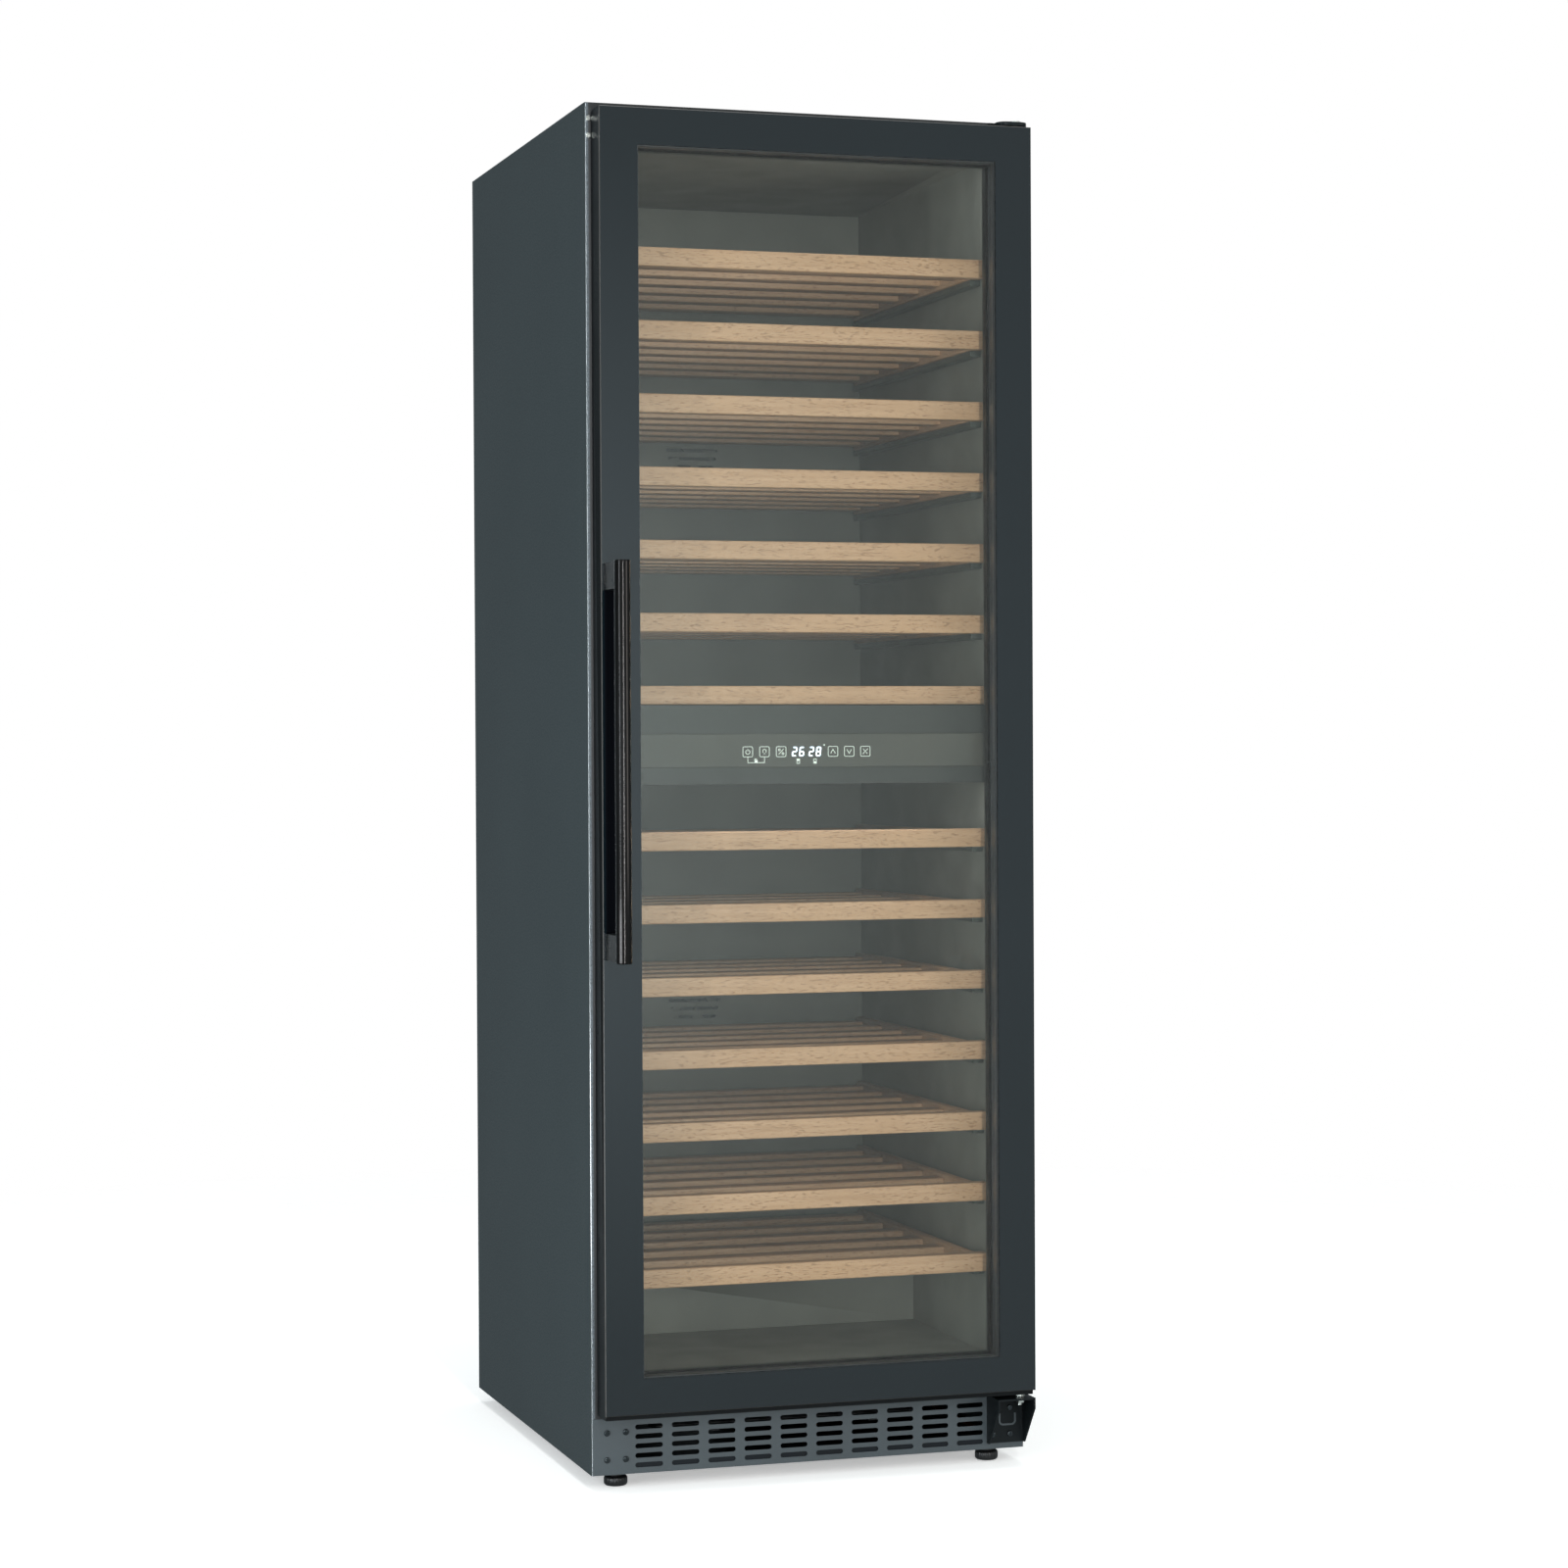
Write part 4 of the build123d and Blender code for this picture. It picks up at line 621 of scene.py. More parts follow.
def lacquered_board(wire):
    place = place_on_piece(wire)
    sockets = {"Vector": place, "Scale": 160.0, "Mortar Size": 0.03, "Color1": paint(20, 84, 48),
               "Color2": paint(24, 92, 54), "Mortar": paint(52, 128, 76)}
    tracks = wire.node("TexBrick", {}, sockets)
    dust = noise(wire, place, 300.0)
    rough = band(wire, dust, 0.2, 0.8, 0.25, 0.45)
    return wire.principled({"Base Color": tracks, "Roughness": rough})


foam = finish("foam", foamed)
board_lacquer = finish("board_lacquer", lacquered_board)
dress(["insulation_foam"], foam, 0.5 * MM)
dress(["control_board"], board_lacquer, 0.2 * MM)

# %% [markdown]
# ## Inside walls
# The inner box is one vacuum-formed sheet of grey plastic with a soft satin skin, and the shelves rest on
# ledges along its walls. The fan and return-air slots are cut in a flat cover at the back. Rounded edges
# matter here, because formed plastic never has sharp ones.

# %% Dress the inside
dress(["liner"], plain["liner_plastic"], 1.5 * MM, 3)
dress(["duct_cover_upper", "duct_cover_lower"], plain["liner_plastic"], 0.6 * MM)
dress(["shelf_rails_left", "shelf_rails_right"], plain["rail_plastic"], 1.0 * MM)
dress(["zone_divider"], plain["divider_plastic"], 1.0 * MM, 3)
dress(["control_panel"], plain["gloss_plastic"], 0.2 * MM)

# %% [markdown]
# ## Lamps at the top of each zone
# A row of small lights sits behind a milky strip let into the top of each zone, just inside the door, and
# each one shows through as a brighter spot. The strip's glow is its own emission, made stronger once every
# lamp pitch. Emission alone gives a grainy light at low sampling, so a flat lamp just under each strip
# does most of the lighting.

# %% Milky strip
LAMP_PITCH = 18.0 * MM
LAMP_TINT = (0.92, 0.96, 1.0)


def milky_strip(wire):
    place = place_on_piece(wire)
    along = one_axis(wire, place, "X")
    beat = wire.maths("COSINE", along * (2 * math.pi / LAMP_PITCH), 0.0)
    haze = noise(wire, place, 200.0)
    glow = blend(wire, band(wire, beat, -1.0, 1.0), (0.55, 0.66, 0.85, 1.0), (*LAMP_TINT, 1.0))
    sockets = {"Base Color": (0.8, 0.8, 0.8, 1.0), "Roughness": band(wire, haze, 0.2, 0.8, 0.3, 0.45)}
    return wire.principled({"Emission Color": glow, "Emission Strength": 0.8, **sockets})


lamp_diffuser = finish("lamp_diffuser", milky_strip)
dress(["led_bars"], lamp_diffuser, 0.4 * MM)

# %% Light inside the two zones
strip_low, strip_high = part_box("led_bars")
LAMP_HEIGHT = 7.0 * MM
LAMP_GAP = 2.0 * MM
LEAN_BACK = 0.02
ZONE_POWER = 0.2

for zone, face in (("lower", strip_low.z), ("upper", strip_high.z - LAMP_HEIGHT)):
    start = Vector((0, (strip_low.y + strip_high.y) / 2, face - LAMP_GAP))
    aim = start + Vector((0, LEAN_BACK, -1))
    width, depth = strip_high.x - strip_low.x, strip_high.y - strip_low.y
    lamp(f"zone_lamp_{zone}", start, aim, width, depth, ZONE_POWER, LAMP_TINT)
    print("zone lamp", zone, "at height", round(start.z, 4))

# %% [markdown]
# ## Beech
# Beech is a pale, even wood. Its grain runs along each stick as faint bands, and it is dotted with short
# darker flecks, one to three millimetres long, which are its rays cut across. Both patterns are noises
# stretched along the stick; the flecks are the peaks of a finer one. Sticks that run across the cooler and
# sticks that run front to back need the pattern turned, so the recipe takes the stretch as a value.

# %% Beech recipe
def beech_recipe(stretch, fleck_stretch):
    def recipe(wire):
        place = place_on_piece(wire, stretch)
        rings = noise(wire, place, 1.0, 4.0, 0.55)
        streaks = noise(wire, place, 5.0, 3.0)
        flecks = noise(wire, place_on_piece(wire, fleck_stretch), 1.0, 2.0)
        patches = noise(wire, place_on_piece(wire), 6.0)
        wood = blend(wire, band(wire, rings, 0.3, 0.7), paint(193, 151, 120), paint(172, 129, 97))
        warm = blend(wire, band(wire, patches, 0.4, 0.75, 0.0, 0.5), wood, paint(188, 142, 105))
        marked = blend(wire, band(wire, flecks, 0.56, 0.66, 0.0, 0.7), warm, paint(130, 87, 55))
        height = rings * 0.6 + streaks * 0.4 - flecks * 0.3
        sockets = {"Base Color": marked, "Roughness": band(wire, streaks, 0.3, 0.7, 0.42, 0.58)}
        return wire.principled({**sockets, "Normal": bumps(wire, height, 0.35, 0.08 * MM)})

    return recipe


beech_across = finish("beech_across", beech_recipe((7, 120, 220), (130, 700, 650)))
beech_deep = finish("beech_deep", beech_recipe((220, 7, 220), (650, 130, 650)))

# %% [markdown]
# ## Shelves
# A shelf is a wide front strip, two side bars and slats let in a little lower, so that bottles lie in
# the hollows and not against the strip. All edges are eased by hand-sanding: that small round is the
# bright line on the top of every strip. Each stick is a box with all twelve edges beveled, and the
# sticks of one shelf are joined in one mesh, so a shelf slides as one piece.

# %% Sticks
def add_stick(shape, low, high, round_by, steps, material=0):
    """Adds a box from low to high with all its edges rounded."""
    stick = bmesh.new()
    bmesh.ops.create_cube(stick, size=1.0)
    size, middle = high - low, (low + high) / 2
    for vertex in stick.verts:
        vertex.co = Vector([vertex.co[axis] * size[axis] + middle[axis] for axis in range(3)])
    bmesh.ops.bevel(stick, geom=stick.edges, offset=round_by, segments=steps, profile=0.5, affect="EDGES")
    carry = bpy.data.meshes.new("stick")
    stick.to_mesh(carry)
    stick.free()
    first = len(shape.faces)
    shape.from_mesh(carry)
    bpy.data.meshes.remove(carry)
    shape.faces.ensure_lookup_table()
    for face in shape.faces[first:]:
        face.material_index = material


# %% Fourteen shelves
STRIP_DEPTH = 20.0 * MM
SIDE_BAR_OUTER = 252.5 * MM
SIDE_BAR_INNER = 241.0 * MM
SIDE_BAR_LIFT = 1.0 * MM
SIDE_BAR_DROP = 4.0 * MM
SLAT_DROP = 9.0 * MM
SLAT_HEIGHT = 10.0 * MM
SLAT_DEPTH = 32.0 * MM
SLAT_START = 26.0 * MM
SLAT_COUNT = 6
STRIP_ROUND, BAR_ROUND, SLAT_ROUND = 1.8 * MM, 1.2 * MM, 1.5 * MM

for number in range(1, 15):
    low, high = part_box(f"shelf_{number:02d}")
    strip_back = low.y + STRIP_DEPTH
    shape = bmesh.new()
    add_stick(shape, low, Vector((high.x, strip_back, high.z)), STRIP_ROUND, 4)
    for inner, outer in ((-SIDE_BAR_INNER, -SIDE_BAR_OUTER), (SIDE_BAR_INNER, SIDE_BAR_OUTER)):
        near = Vector((min(inner, outer), strip_back, low.z + SIDE_BAR_LIFT))
        far = Vector((max(inner, outer), high.y, high.z - SIDE_BAR_DROP))
        add_stick(shape, near, far, BAR_ROUND, 2, 1)
    spacing = (high.y - SLAT_DEPTH - strip_back - SLAT_START) / (SLAT_COUNT - 1)
    for index in range(SLAT_COUNT):
        y = strip_back + SLAT_START + spacing * index
        top = high.z - SLAT_DROP
        near = Vector((-SIDE_BAR_INNER, y, top - SLAT_HEIGHT))
        add_stick(shape, near, Vector((SIDE_BAR_INNER, y + SLAT_DEPTH, top)), SLAT_ROUND, 2)
    add_piece(f"wooden_shelf_{number:02d}", shape, [beech_across, beech_deep], f"tray_{number:02d}",
              [f"shelf_{number:02d}"])

# %% [markdown]
# ## Door frame, seal and glass
# The door is a black frame with a double pane. The seal is a soft bellows that closes against the steel
# front. Both the seal and the spacer between the panes run round a rectangle with mitred corners, so one
# helper takes a section, as steps inward and back, and carries it round the four corners.

# %% A section carried round a rectangle
def mitred_ring(low, high, section):
    """A closed section, given as (inward, depth) pairs, carried round a rectangle."""
    shape = bmesh.new()
    loops = []
    for inward, depth in section:
        sides = (low.x + inward, high.x - inward, low.z + inward, high.z - inward)
        loops.append(rectangle(shape, *sides, depth))
    for one, other in zip(loops, loops[1:] + loops[:1]):
        join_loops(shape, one, other)
    return shape


# %% Seal and spacer
SEAL_WIDTH = 16.0 * MM
SPACER_WALL = 2.0 * MM

dress(["door_frame"], plain["door_paint"], 0.8 * MM, 3)

low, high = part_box("door_gasket")
thick = high.y - low.y
seal_section = [
    (0.0, low.y), (0.4 * MM, low.y + thick * 0.45), (1.6 * MM, low.y + thick * 0.7),
    (1.2 * MM, low.y + thick * 0.9), (2.4 * MM, high.y), (SEAL_WIDTH - 3.0 * MM, high.y),
    (SEAL_WIDTH - 1.6 * MM, low.y + thick * 0.85), (SEAL_WIDTH - 2.6 * MM, low.y + thick * 0.6),
    (SEAL_WIDTH - 0.6 * MM, low.y + thick * 0.35), (SEAL_WIDTH, low.y),
]
add_piece("door_seal", mitred_ring(low, high, seal_section), [plain["rubber"]], "door",
          ["door_gasket"], sharp=60)

low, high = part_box("glass_spacer")
bead = 0.6 * MM
spacer_section = [
    (0.0, low.y), (0.0, high.y), (SPACER_WALL - bead, high.y), (SPACER_WALL, high.y - 2 * MM),
    (SPACER_WALL - bead, high.y - 3 * MM), (SPACER_WALL - bead, low.y + 3 * MM),
    (SPACER_WALL, low.y + 2 * MM), (SPACER_WALL - bead, low.y),
]
add_piece("pane_spacer", mitred_ring(low, high, spacer_section), [plain["dark_steel"]], "door",
          ["glass_spacer"])

# %% [markdown]
# Glass seen almost straight on lets most light through and mirrors about a twenty-fifth of it, and more
# at a slant. A thin pane doesn't bend what is behind it, so a clear shader mixed with a mirror one gives
# the same look as true refraction with far less noise. The share of mirror follows the usual rule
# for glass, worked out from how much the surface faces away. The black border is printed
# ceramic behind the same glass: a black base under a very smooth top. Between the handle's posts the
# dark reflection of the handle bar in the glass is painted: the recipe mixes in a dull, blacker shader
# there.

# %% Glass finishes
STRAIGHT_MIRROR = 0.04
REFLECTION_FADE = 0.3 * MM
SMEAR = 0.02
SHEEN_TINT = (0.72, 0.70, 0.68, 1.0)
GLASS_TINT = (0.95, 0.965, 0.955, 1.0)
POST_HEIGHT = 34.0 * MM
post_low, post_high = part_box("handle_posts")
# The area between the posts, where the handle bar's dark reflection is painted on the border.
REFLECTION_ACROSS = (post_low.x, post_high.x)
REFLECTION_HEIGHT = (post_low.z + POST_HEIGHT, post_high.z - POST_HEIGHT)


def pane_recipe(share):
    """See-through glass; share scales how much it mirrors."""

    def recipe(wire):
        slant = wire.node("LayerWeight", {}, {"Blend": 0.5}, out="Facing")
        mirror = (STRAIGHT_MIRROR + slant**5.0 * (1 - STRAIGHT_MIRROR)) * share
        streaks = noise(wire, place_on_piece(wire, (3, 3, 1)), 4.0, 3.0)
        uneven = mirror * band(wire, streaks, 0.2, 0.8, 0.94, 1.06)
        clear = wire.node("BsdfTransparent", {}, {"Color": GLASS_TINT})
        sheen = wire.node("BsdfAnisotropic", {}, {"Color": SHEEN_TINT, "Roughness": SMEAR})
        return wire.node("MixShader", {}, {0: uneven, 1: clear, 2: sheen})

    return recipe


def printed_border(wire):
    place = place_on_piece(wire)
    wave = noise(wire, place, 3.0)
    shade = blend(wire, wave, paint(6, 14, 18), paint(10, 18, 22))
    smooth = band(wire, noise(wire, place, 30.0), 0.3, 0.7, 0.03, 0.06)
    gloss = wire.principled({"Base Color": shade, "Roughness": smooth})
    # Painted reflection of the handle bar: a near-black, dull shader.
    handle_reflection_colour = blend(wire, wave, paint(3, 4, 7), paint(6, 7, 11))
    dull = {"Roughness": 0.8, "Specular IOR Level": 0.02}
    painted_handle_reflection = wire.principled({"Base Color": handle_reflection_colour, **dull})
    across = one_axis(wire, place, "X")
    height = one_axis(wire, place, "Z")
    handle_reflection_mask = 1.0
    for value, (start, end) in ((across, REFLECTION_ACROSS), (height, REFLECTION_HEIGHT)):
        handle_reflection_mask = handle_reflection_mask * band(wire, value, start, start + REFLECTION_FADE)
        handle_reflection_mask = handle_reflection_mask * band(wire, value, end, end - REFLECTION_FADE)
    return wire.node("MixShader", {}, {0: handle_reflection_mask, 1: gloss, 2: painted_handle_reflection})


def ground_edge(wire):
    place = place_on_piece(wire)
    frost = noise(wire, place, 900.0, 3.0)
    shade = blend(wire, frost, paint(42, 39, 36), paint(58, 54, 50))
    sockets = {"Base Color": shade, "Roughness": 0.35, "Normal": bumps(wire, frost, 0.4, 0.05 * MM)}
    return wire.principled(sockets)


front_glass = finish("front_glass", pane_recipe(1.0))
rear_glass = finish("rear_glass", pane_recipe(0.35))
border_print = finish("border_print", printed_border)
pane_edge = finish("pane_edge", ground_edge)

# %% [markdown]
# The front pane covers the whole door. Its outline has a narrow ground bevel, and its face is split at
# the window, so that the border and the clear part can have finishes of their own on one mesh.

# %% Panes
PANE_BEVEL = 0.6 * MM
CLEAR, BACK_CLEAR, PRINT, EDGE = range(4)


def pane(low, high, window_low, window_high):
    """A pane with a beveled front edge, split at the window."""
    shape = bmesh.new()
    cut = PANE_BEVEL
    front = rectangle(shape, low.x + cut, high.x - cut, low.z + cut, high.z - cut, low.y)
    shoulder = rectangle(shape, low.x, high.x, low.z, high.z, low.y + cut)
    back = rectangle(shape, low.x, high.x, low.z, high.z, high.y)
    edges = (window_low.x, window_high.x, window_low.z, window_high.z)
    front_window = rectangle(shape, *edges, low.y)
    back_window = rectangle(shape, *edges, high.y)
    join_loops(shape, shoulder, front, EDGE)
    join_loops(shape, back, shoulder, EDGE)
    join_loops(shape, front, front_window, PRINT)
    join_loops(shape, back_window, back, PRINT)
    shape.faces.new(front_window).material_index = CLEAR
    shape.faces.new(back_window).material_index = BACK_CLEAR
    return shape


window_low, window_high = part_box("inner_glass")
low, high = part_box("outer_glass")
glass_finishes = [front_glass, rear_glass, border_print, pane_edge]
add_piece("front_pane", pane(low, high, window_low, window_high), glass_finishes, "door",
          ["outer_glass"], sharp=20)
inset = Vector((SPACER_WALL, 0, SPACER_WALL))
add_piece("rear_pane", pane(window_low, window_high, window_low + inset, window_high - inset),
          glass_finishes, "door", ["inner_glass"], sharp=20)

# %% [markdown]
# ## Handle
# The handle is a round bar with a dark plated skin, brushed along its length, on two blocks. The
# brushing is a noise stretched far along the bar; it spreads each lamp's reflection sideways into a soft
# upright line. The bar is turned from its outline, with a small round at both ends.

# %% Brushed dark metal
BRUSH_STRETCH = (1, 1, 0.006)


def brushed(wire):
    lines = noise(wire, place_on_piece(wire, BRUSH_STRETCH), 2600.0, 3.0)
    worn = noise(wire, place_on_piece(wire), 22.0, 4.0)
    shade = blend(wire, lines, paint(40, 39, 39), paint(32, 31, 31))
    sockets = {"Base Color": shade, "Roughness": band(wire, worn + lines * 0.5, 0.4, 1.1, 0.12, 0.16)}
    normal = bumps(wire, lines, 0.05, 0.004 * MM)
    return wire.principled({"Metallic": 1.0, "Normal": normal, **sockets})


handle_metal = finish("handle_metal", brushed)

# %% Turned bar
def turned_bar(centre_x, centre_y, outline, around=64, ribs=0, rib_depth=0.0):
    """A bar on an upright axis; the outline is (radius, height, share of ribbing) from bottom to top."""
    shape = bmesh.new()
    rings = []
    for radius, height, ribbed in outline:
        ring = []
        for step in range(around):
            turn = 2 * math.pi * step / around
            reach = radius - rib_depth * ribbed * (1 - math.cos(ribs * turn)) / 2
            x, y = centre_x + reach * math.cos(turn), centre_y + reach * math.sin(turn)
            ring.append(shape.verts.new((x, y, height)))
        rings.append(ring)
    for one, other in zip(rings, rings[1:]):
        join_loops(shape, one, other)
    shape.faces.new(rings[0])
    shape.faces.new(rings[-1])
    return shape


low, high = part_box("handle_bar")
radius = (high.x - low.x) / 2
END_ROUND = ((1.6 * MM, 0.0), (0.7 * MM, 0.3 * MM), (0.2 * MM, 0.9 * MM), (0.0, 1.8 * MM))
outline = [(radius - less, low.z + up, 0) for less, up in END_ROUND]
outline += [(radius - less, high.z - up, 0) for less, up in reversed(END_ROUND)]
add_piece("round_handle", turned_bar((low.x + high.x) / 2, (low.y + high.y) / 2, outline), [handle_metal],
          "door", ["handle_bar"], sharp=50)
dress(["handle_posts"], plain["post_metal"], 0.5 * MM)

# %% [markdown]
# ## Screw feet
# Each foot is a hard black disc with grip ribs, on a neck and a threaded stem. Its outline is turned like
# the handle's, but here the radius also goes in and out around the disc, which gives the ribs. Each step
# of the outline says its share of the disc's radius, its height in millimetres and its share of ribbing.

# %% Ribbed feet
RIBS = 24
RIB_DEPTH = 0.5 * MM
STEPS_PER_RIB = 6
NECK = 0.66
STEM = 4.0 * MM
STEM_START = 19.7 * MM
FOOT_OUTLINE = (
    (0.72, 0.0, 0), (0.86, 0.5, 0), (0.95, 1.6, 0.5), (1.0, 3.4, 1), (1.0, 9.6, 1),
    (0.95, 11.6, 0.5), (0.84, 12.9, 0), (NECK, 13.3, 0), (NECK, 19.6, 0),
)

for word in ("left", "right"):
    low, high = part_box(f"foot_{word}")
    middle_x, middle_y = (low.x + high.x) / 2, (low.y + high.y) / 2
    disc_radius = (high.x - low.x) / 2
    outline = [(disc_radius * share, low.z + up * MM, ribbed) for share, up, ribbed in FOOT_OUTLINE]
    outline += [(STEM, low.z + STEM_START, 0), (STEM, high.z, 0)]
    shape = turned_bar(middle_x, middle_y, outline, RIBS * STEPS_PER_RIB, RIBS, RIB_DEPTH)
    add_piece(f"ribbed_foot_{word}", shape, [plain["foot_plastic"]], f"{word}_foot",
              [f"foot_{word}"], sharp=40)

# %% [markdown]
# ## Touch keys and digits
# The touch strip shows lit outlines through dark plastic: a square for each key with a sign in it, two
# pairs of digits, and small signs under them. They are thin raised lines on the strip's front, so they
# stay sharp at any size. A ribbon follows a list of points with mitred corners and has a real thickness.
# The bead that is pressed into the hinge bracket to stiffen it, a U, is drawn with the same ribbon.

# %% Ribbons
def ribbon(shape, points, width, front, thick, closed=False):
    """A flat line through (x, z) points, standing off the plane y = front by thick."""
    count = len(points)
    places = [Vector(point) for point in points]
    sections = []
    for index, place in enumerate(places):
        steps = []
        if closed or index:
            steps.append((place - places[index - 1]).normalized())
        if closed or index < count - 1:
            steps.append((places[(index + 1) % count] - place).normalized())
        along = sum(steps, Vector((0, 0))).normalized()
        across = Vector((-along.y, along.x))
        reach = width / 2 / max(0.35, across.dot(Vector((-steps[0].y, steps[0].x))))
        left, right = place + across * reach, place - across * reach
        corners = ((left, front - thick), (right, front - thick), (right, front), (left, front))
        sections.append([shape.verts.new((p.x, y, p.y)) for p, y in corners])
    last = count if closed else count - 1
    for index in range(last):
        join_loops(shape, sections[index], sections[(index + 1) % count])
    if not closed:
        shape.faces.new(sections[0])
        shape.faces.new(sections[-1])


def arc(x, z, radius, start, end, steps=12):
    """Points on a circle between two angles in degrees."""
    turns = [math.radians(start + (end - start) * step / steps) for step in range(steps + 1)]
    return [(x + radius * math.cos(turn), z + radius * math.sin(turn)) for turn in turns]


# %% Bead on the hinge bracket
BEAD_LEFT, BEAD_RIGHT = 262.0 * MM, 284.0 * MM
BEAD_TOP, BEAD_BOTTOM = 67.0 * MM, 52.0 * MM
BEAD_TURN = 5.0 * MM
BEAD_WIDTH, BEAD_RISE = 2.4 * MM, 0.7 * MM
BRACKET_SHEET = 2.5 * MM

bead_points = [(BEAD_LEFT, BEAD_TOP)]
bead_points += arc(BEAD_LEFT + BEAD_TURN, BEAD_BOTTOM + BEAD_TURN, BEAD_TURN, 180, 270)
bead_points += arc(BEAD_RIGHT - BEAD_TURN, BEAD_BOTTOM + BEAD_TURN, BEAD_TURN, -90, 0)
bead_points.append((BEAD_RIGHT, BEAD_TOP))
bead_shape = bmesh.new()
ribbon(bead_shape, bead_points, BEAD_WIDTH, front_y - BRACKET_SHEET, BEAD_RISE)
add_piece("bracket_bead", bead_shape, [plain["powder_coat"]], "cabinet")

# %% Lit print
def lit_print(colour, other, strength):
    """A recipe for print that glows, a little unevenly."""

    def recipe(wire):
        cloud = noise(wire, place_on_piece(wire), 180.0, 2.0)
        glow = blend(wire, band(wire, cloud, 0.3, 0.7), colour, other)
        sockets = {"Base Color": (0.5, 0.5, 0.5, 1.0), "Roughness": 0.4, "Emission Strength": strength}
        return wire.principled({"Emission Color": glow, **sockets})

    return recipe


key_glow = finish("key_glow", lit_print((0.64, 0.70, 0.62, 1), (0.52, 0.58, 0.50, 1), 1.15))
digit_glow = finish("digit_glow", lit_print((0.80, 0.88, 1.0, 1), (0.70, 0.80, 1.0, 1), 2.6))

# %% Keys
panel_low, panel_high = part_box("control_panel")
panel_front = panel_low.y
KEYS_LOWERED = 1.6 * MM
KEY_MIDDLE = (panel_low.z + panel_high.z) / 2 - KEYS_LOWERED
KEY_HALF = 6.6 * MM
KEY_ROUND = 1.8 * MM
LINE = 0.6 * MM
PRINT_THICK = 0.15 * MM
LEFT_START, LEFT_PITCH = -80.8 * MM, 22.8 * MM
RIGHT_START, RIGHT_PITCH = 36.2 * MM, 22.4 * MM
LEFT_KEYS = [LEFT_START + LEFT_PITCH * index for index in range(3)]
RIGHT_KEYS = [RIGHT_START + RIGHT_PITCH * index for index in range(3)]

keys = bmesh.new()


def line(points, closed=False, width=LINE):
    ribbon(keys, points, width, panel_front, PRINT_THICK, closed)


def key_outline(x):
    reach = KEY_HALF - KEY_ROUND
    points = []
    for across, rise, start in ((1, 1, 0), (-1, 1, 90), (-1, -1, 180), (1, -1, 270)):
        points += arc(x + across * reach, KEY_MIDDLE + rise * reach, KEY_ROUND, start, start + 90, 4)
    line(points, closed=True)


for x in LEFT_KEYS + RIGHT_KEYS:
    key_outline(x)

# %% Signs in the keys
power, bulb, scale_key = LEFT_KEYS
up, down, mode = RIGHT_KEYS


def strokes(x, *paths):
    """Lines in a key, each a list of (across, up) in millimetres from the key's middle."""
    for path in paths:
        line([(x + across * MM, KEY_MIDDLE + rise * MM) for across, rise in path])


def round_stroke(x, across, rise, radius, start, end, steps, closed=False):
    """Part of a circle in a key, measured in the same way."""
    line(arc(x + across * MM, KEY_MIDDLE + rise * MM, radius * MM, start, end, steps), closed)


round_stroke(power, 0, -0.3, 2.9, 125, 415, 16)
strokes(power, [(0, 3.6), (0, 0.4)])
round_stroke(bulb, 0, 0.8, 2.4, -50, 230, 14)
strokes(bulb, [(-1.2, -2.6), (1.2, -2.6)])
strokes(scale_key, [(-3.4, -3.4), (3.4, 3.4)])
round_stroke(scale_key, -2.4, 2.4, 1.3, 0, 345, 10, closed=True)
round_stroke(scale_key, 2.5, -2.5, 1.3, 0, 345, 10, closed=True)
strokes(up, [(-3.2, -2.6), (0, 2.8), (3.2, -2.6)])
strokes(down, [(-3.2, 2.6), (0, -2.8), (3.2, 2.6)])
strokes(mode, [(-3.6, -3.6), (3.6, 3.6)], [(-3.0, 3.2), (-0.9, 0.9)], [(0.9, -0.9), (3.0, -3.2)])
print("signs drawn in", len(LEFT_KEYS + RIGHT_KEYS), "keys")

# %% Lock sign, zone signs and the small dot
LOCK_LINE = KEY_MIDDLE - 14.2 * MM
LOCK_HALF_WIDE, LOCK_HIGH, LOCK_RISE = 1.9 * MM, 3.2 * MM, 1.8 * MM
SHACKLE_RADIUS, SHACKLE_SHIFT = 1.5 * MM, 0.6 * MM
SIGN_LINE = KEY_MIDDLE - 12.6 * MM
SIGN_HALF_WIDE, SIGN_HALF_HIGH = 1.9 * MM, 2.9 * MM
FILL_HALF_WIDE, FILL_HIGH, FILL_SHIFT = 1.3 * MM, 2.2 * MM, 1.4 * MM
DIGIT_PLACES = (-11.8 * MM, 11.3 * MM)

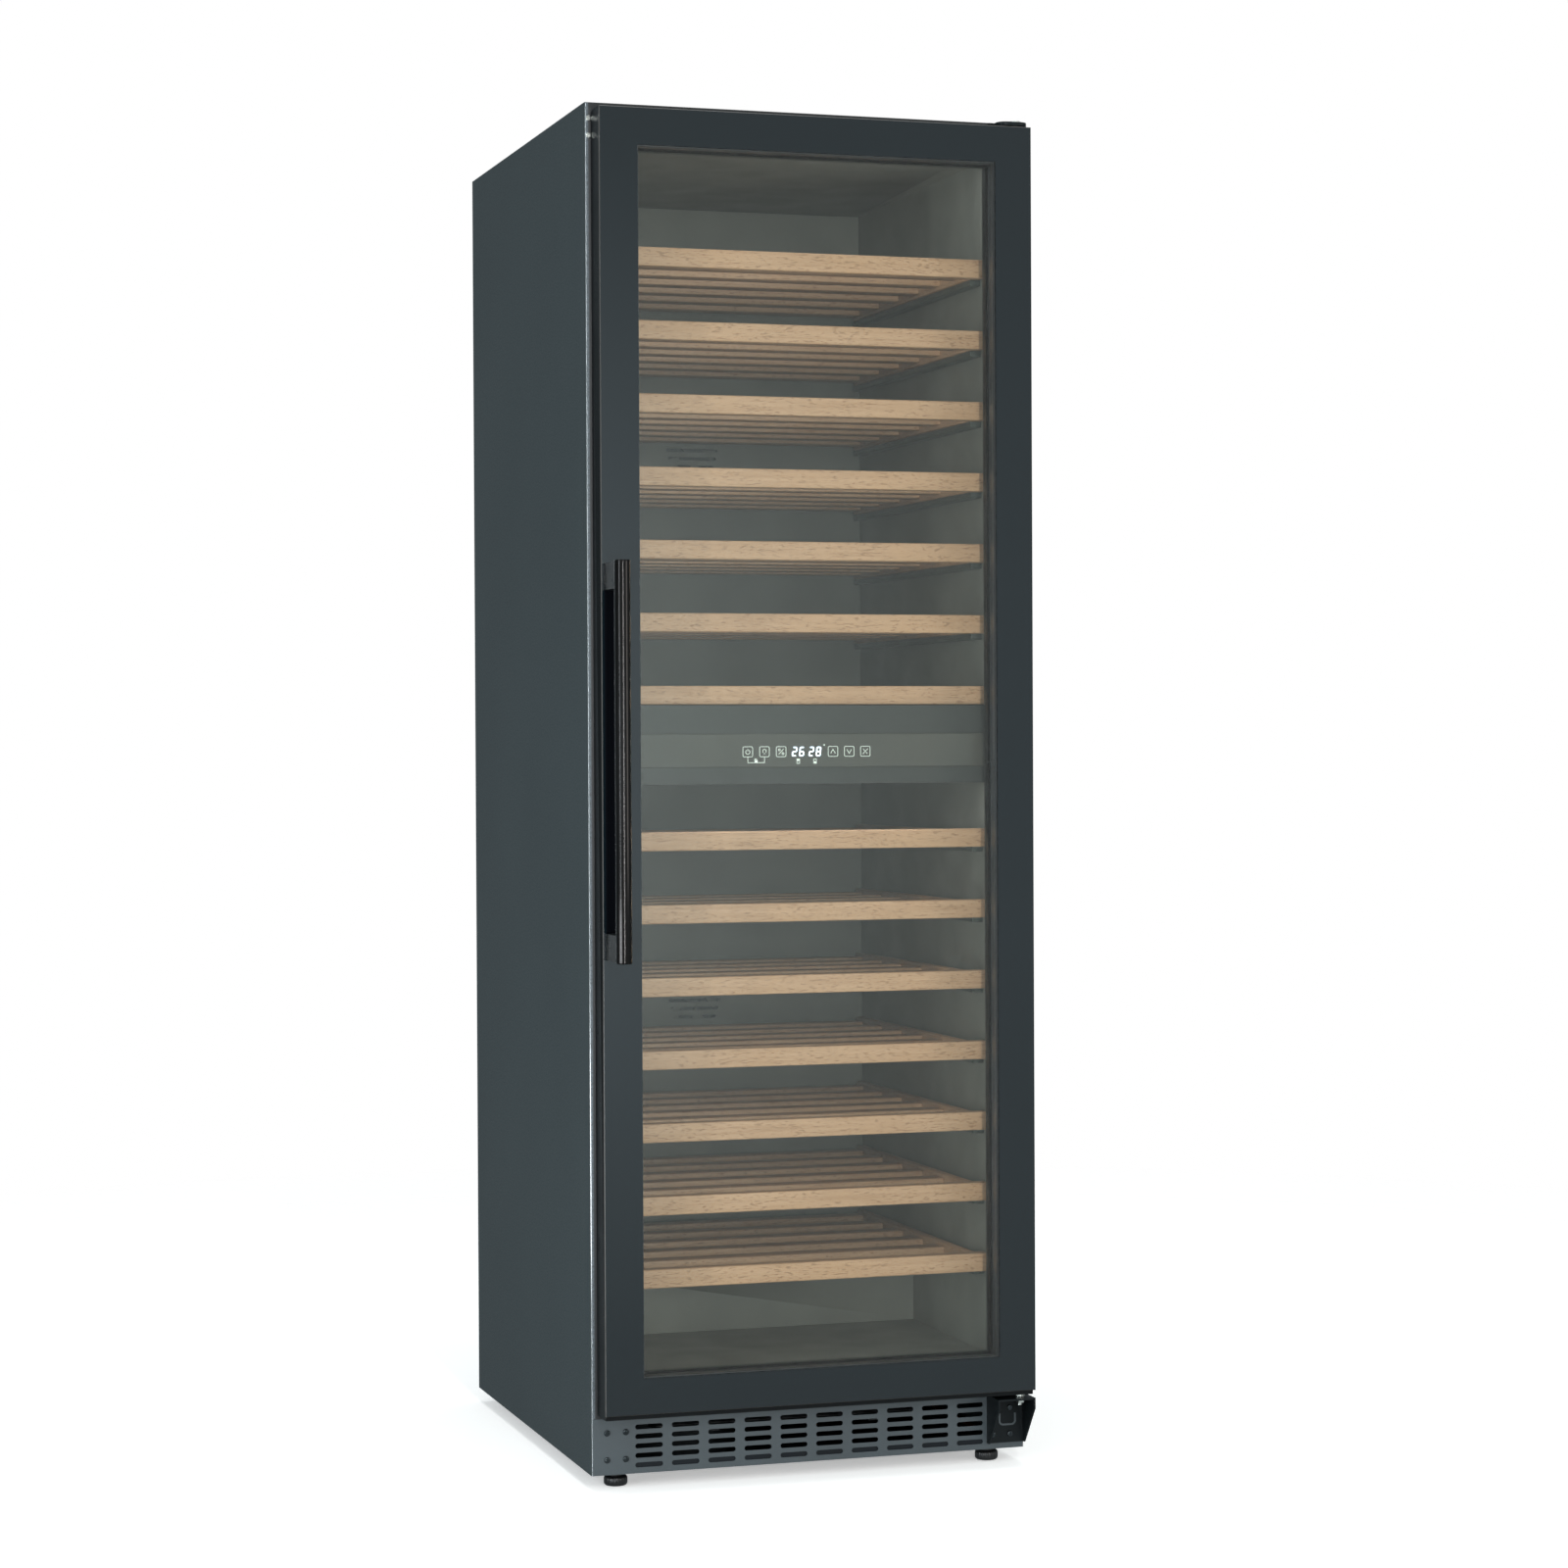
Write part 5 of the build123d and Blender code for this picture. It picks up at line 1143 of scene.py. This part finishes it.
under = KEY_MIDDLE - KEY_HALF
line([(power, under), (power, LOCK_LINE), (bulb, LOCK_LINE), (bulb, under)])
lock, body = (power + bulb) / 2, LOCK_LINE + LOCK_RISE
line([(lock - LOCK_HALF_WIDE, body), (lock + LOCK_HALF_WIDE, body)], width=LOCK_HIGH)
line(arc(lock - SHACKLE_SHIFT, body + LOCK_RISE, SHACKLE_RADIUS, 20, 200, 8))
for x, fill in zip(DIGIT_PLACES, (SIGN_LINE + FILL_SHIFT, SIGN_LINE - FILL_SHIFT)):
    left, right = x - SIGN_HALF_WIDE, x + SIGN_HALF_WIDE
    bottom, top = SIGN_LINE - SIGN_HALF_HIGH, SIGN_LINE + SIGN_HALF_HIGH
    line([(left, bottom), (right, bottom), (right, top), (left, top)], closed=True)
    line([(x - FILL_HALF_WIDE, fill), (x + FILL_HALF_WIDE, fill)], width=FILL_HIGH)
round_stroke(0, 24.1, 8.6, 0.7, 0, 345, 10, closed=True)
add_piece("key_prints", keys, [key_glow], "cabinet")

# %% [markdown]
# Digits of seven bars are the plainest way to show a temperature. Which bars are lit for each digit is a
# short table, and the bars lean a little, as on most displays.

# %% Seven-bar digits
BARS = {
    "top": ((-1, 2), (1, 2)), "middle": ((-1, 0), (1, 0)), "bottom": ((-1, -2), (1, -2)),
    "upper_left": ((-1, 2), (-1, 0)), "upper_right": ((1, 2), (1, 0)),
    "lower_left": ((-1, 0), (-1, -2)), "lower_right": ((1, 0), (1, -2)),
}
LIT = {
    "2": ("top", "upper_right", "middle", "lower_left", "bottom"),
    "6": ("top", "upper_left", "middle", "lower_left", "lower_right", "bottom"),
    "8": tuple(BARS),
}
DIGIT_HALF_WIDTH = 2.6 * MM
DIGIT_QUARTER_HEIGHT = 2.75 * MM
DIGIT_STEP = 4.9 * MM
BAR_WIDTH = 1.7 * MM
BAR_GAP = 0.35 * MM
LEAN = 0.12

digits = bmesh.new()
for middle, pair in zip(DIGIT_PLACES, ("26", "28")):
    for shift, figure in zip((-DIGIT_STEP, DIGIT_STEP), pair):
        for bar in LIT[figure]:
            ends = []
            for x, height in BARS[bar]:
                rise = height * DIGIT_QUARTER_HEIGHT
                across = middle + shift + x * DIGIT_HALF_WIDTH + rise * LEAN
                ends.append(Vector((across, KEY_MIDDLE + rise)))
            trim = (ends[1] - ends[0]).normalized() * BAR_GAP
            ribbon(digits, [ends[0] + trim, ends[1] - trim], BAR_WIDTH, panel_front, PRINT_THICK)
add_piece("temperature_digits", digits, [digit_glow], "cabinet")

# %% [markdown]
# ## Last check of size
# Painted and replaced pieces must not make the cooler larger, so the frame's box and the dressed model's
# box are measured and the growth between them is printed.

# %% Sizes
visual_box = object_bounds()
growth = (visual_box[1] - visual_box[0]) - (frame_box[1] - frame_box[0])
print("grown by", [round(side / MM, 2) for side in growth], "mm")
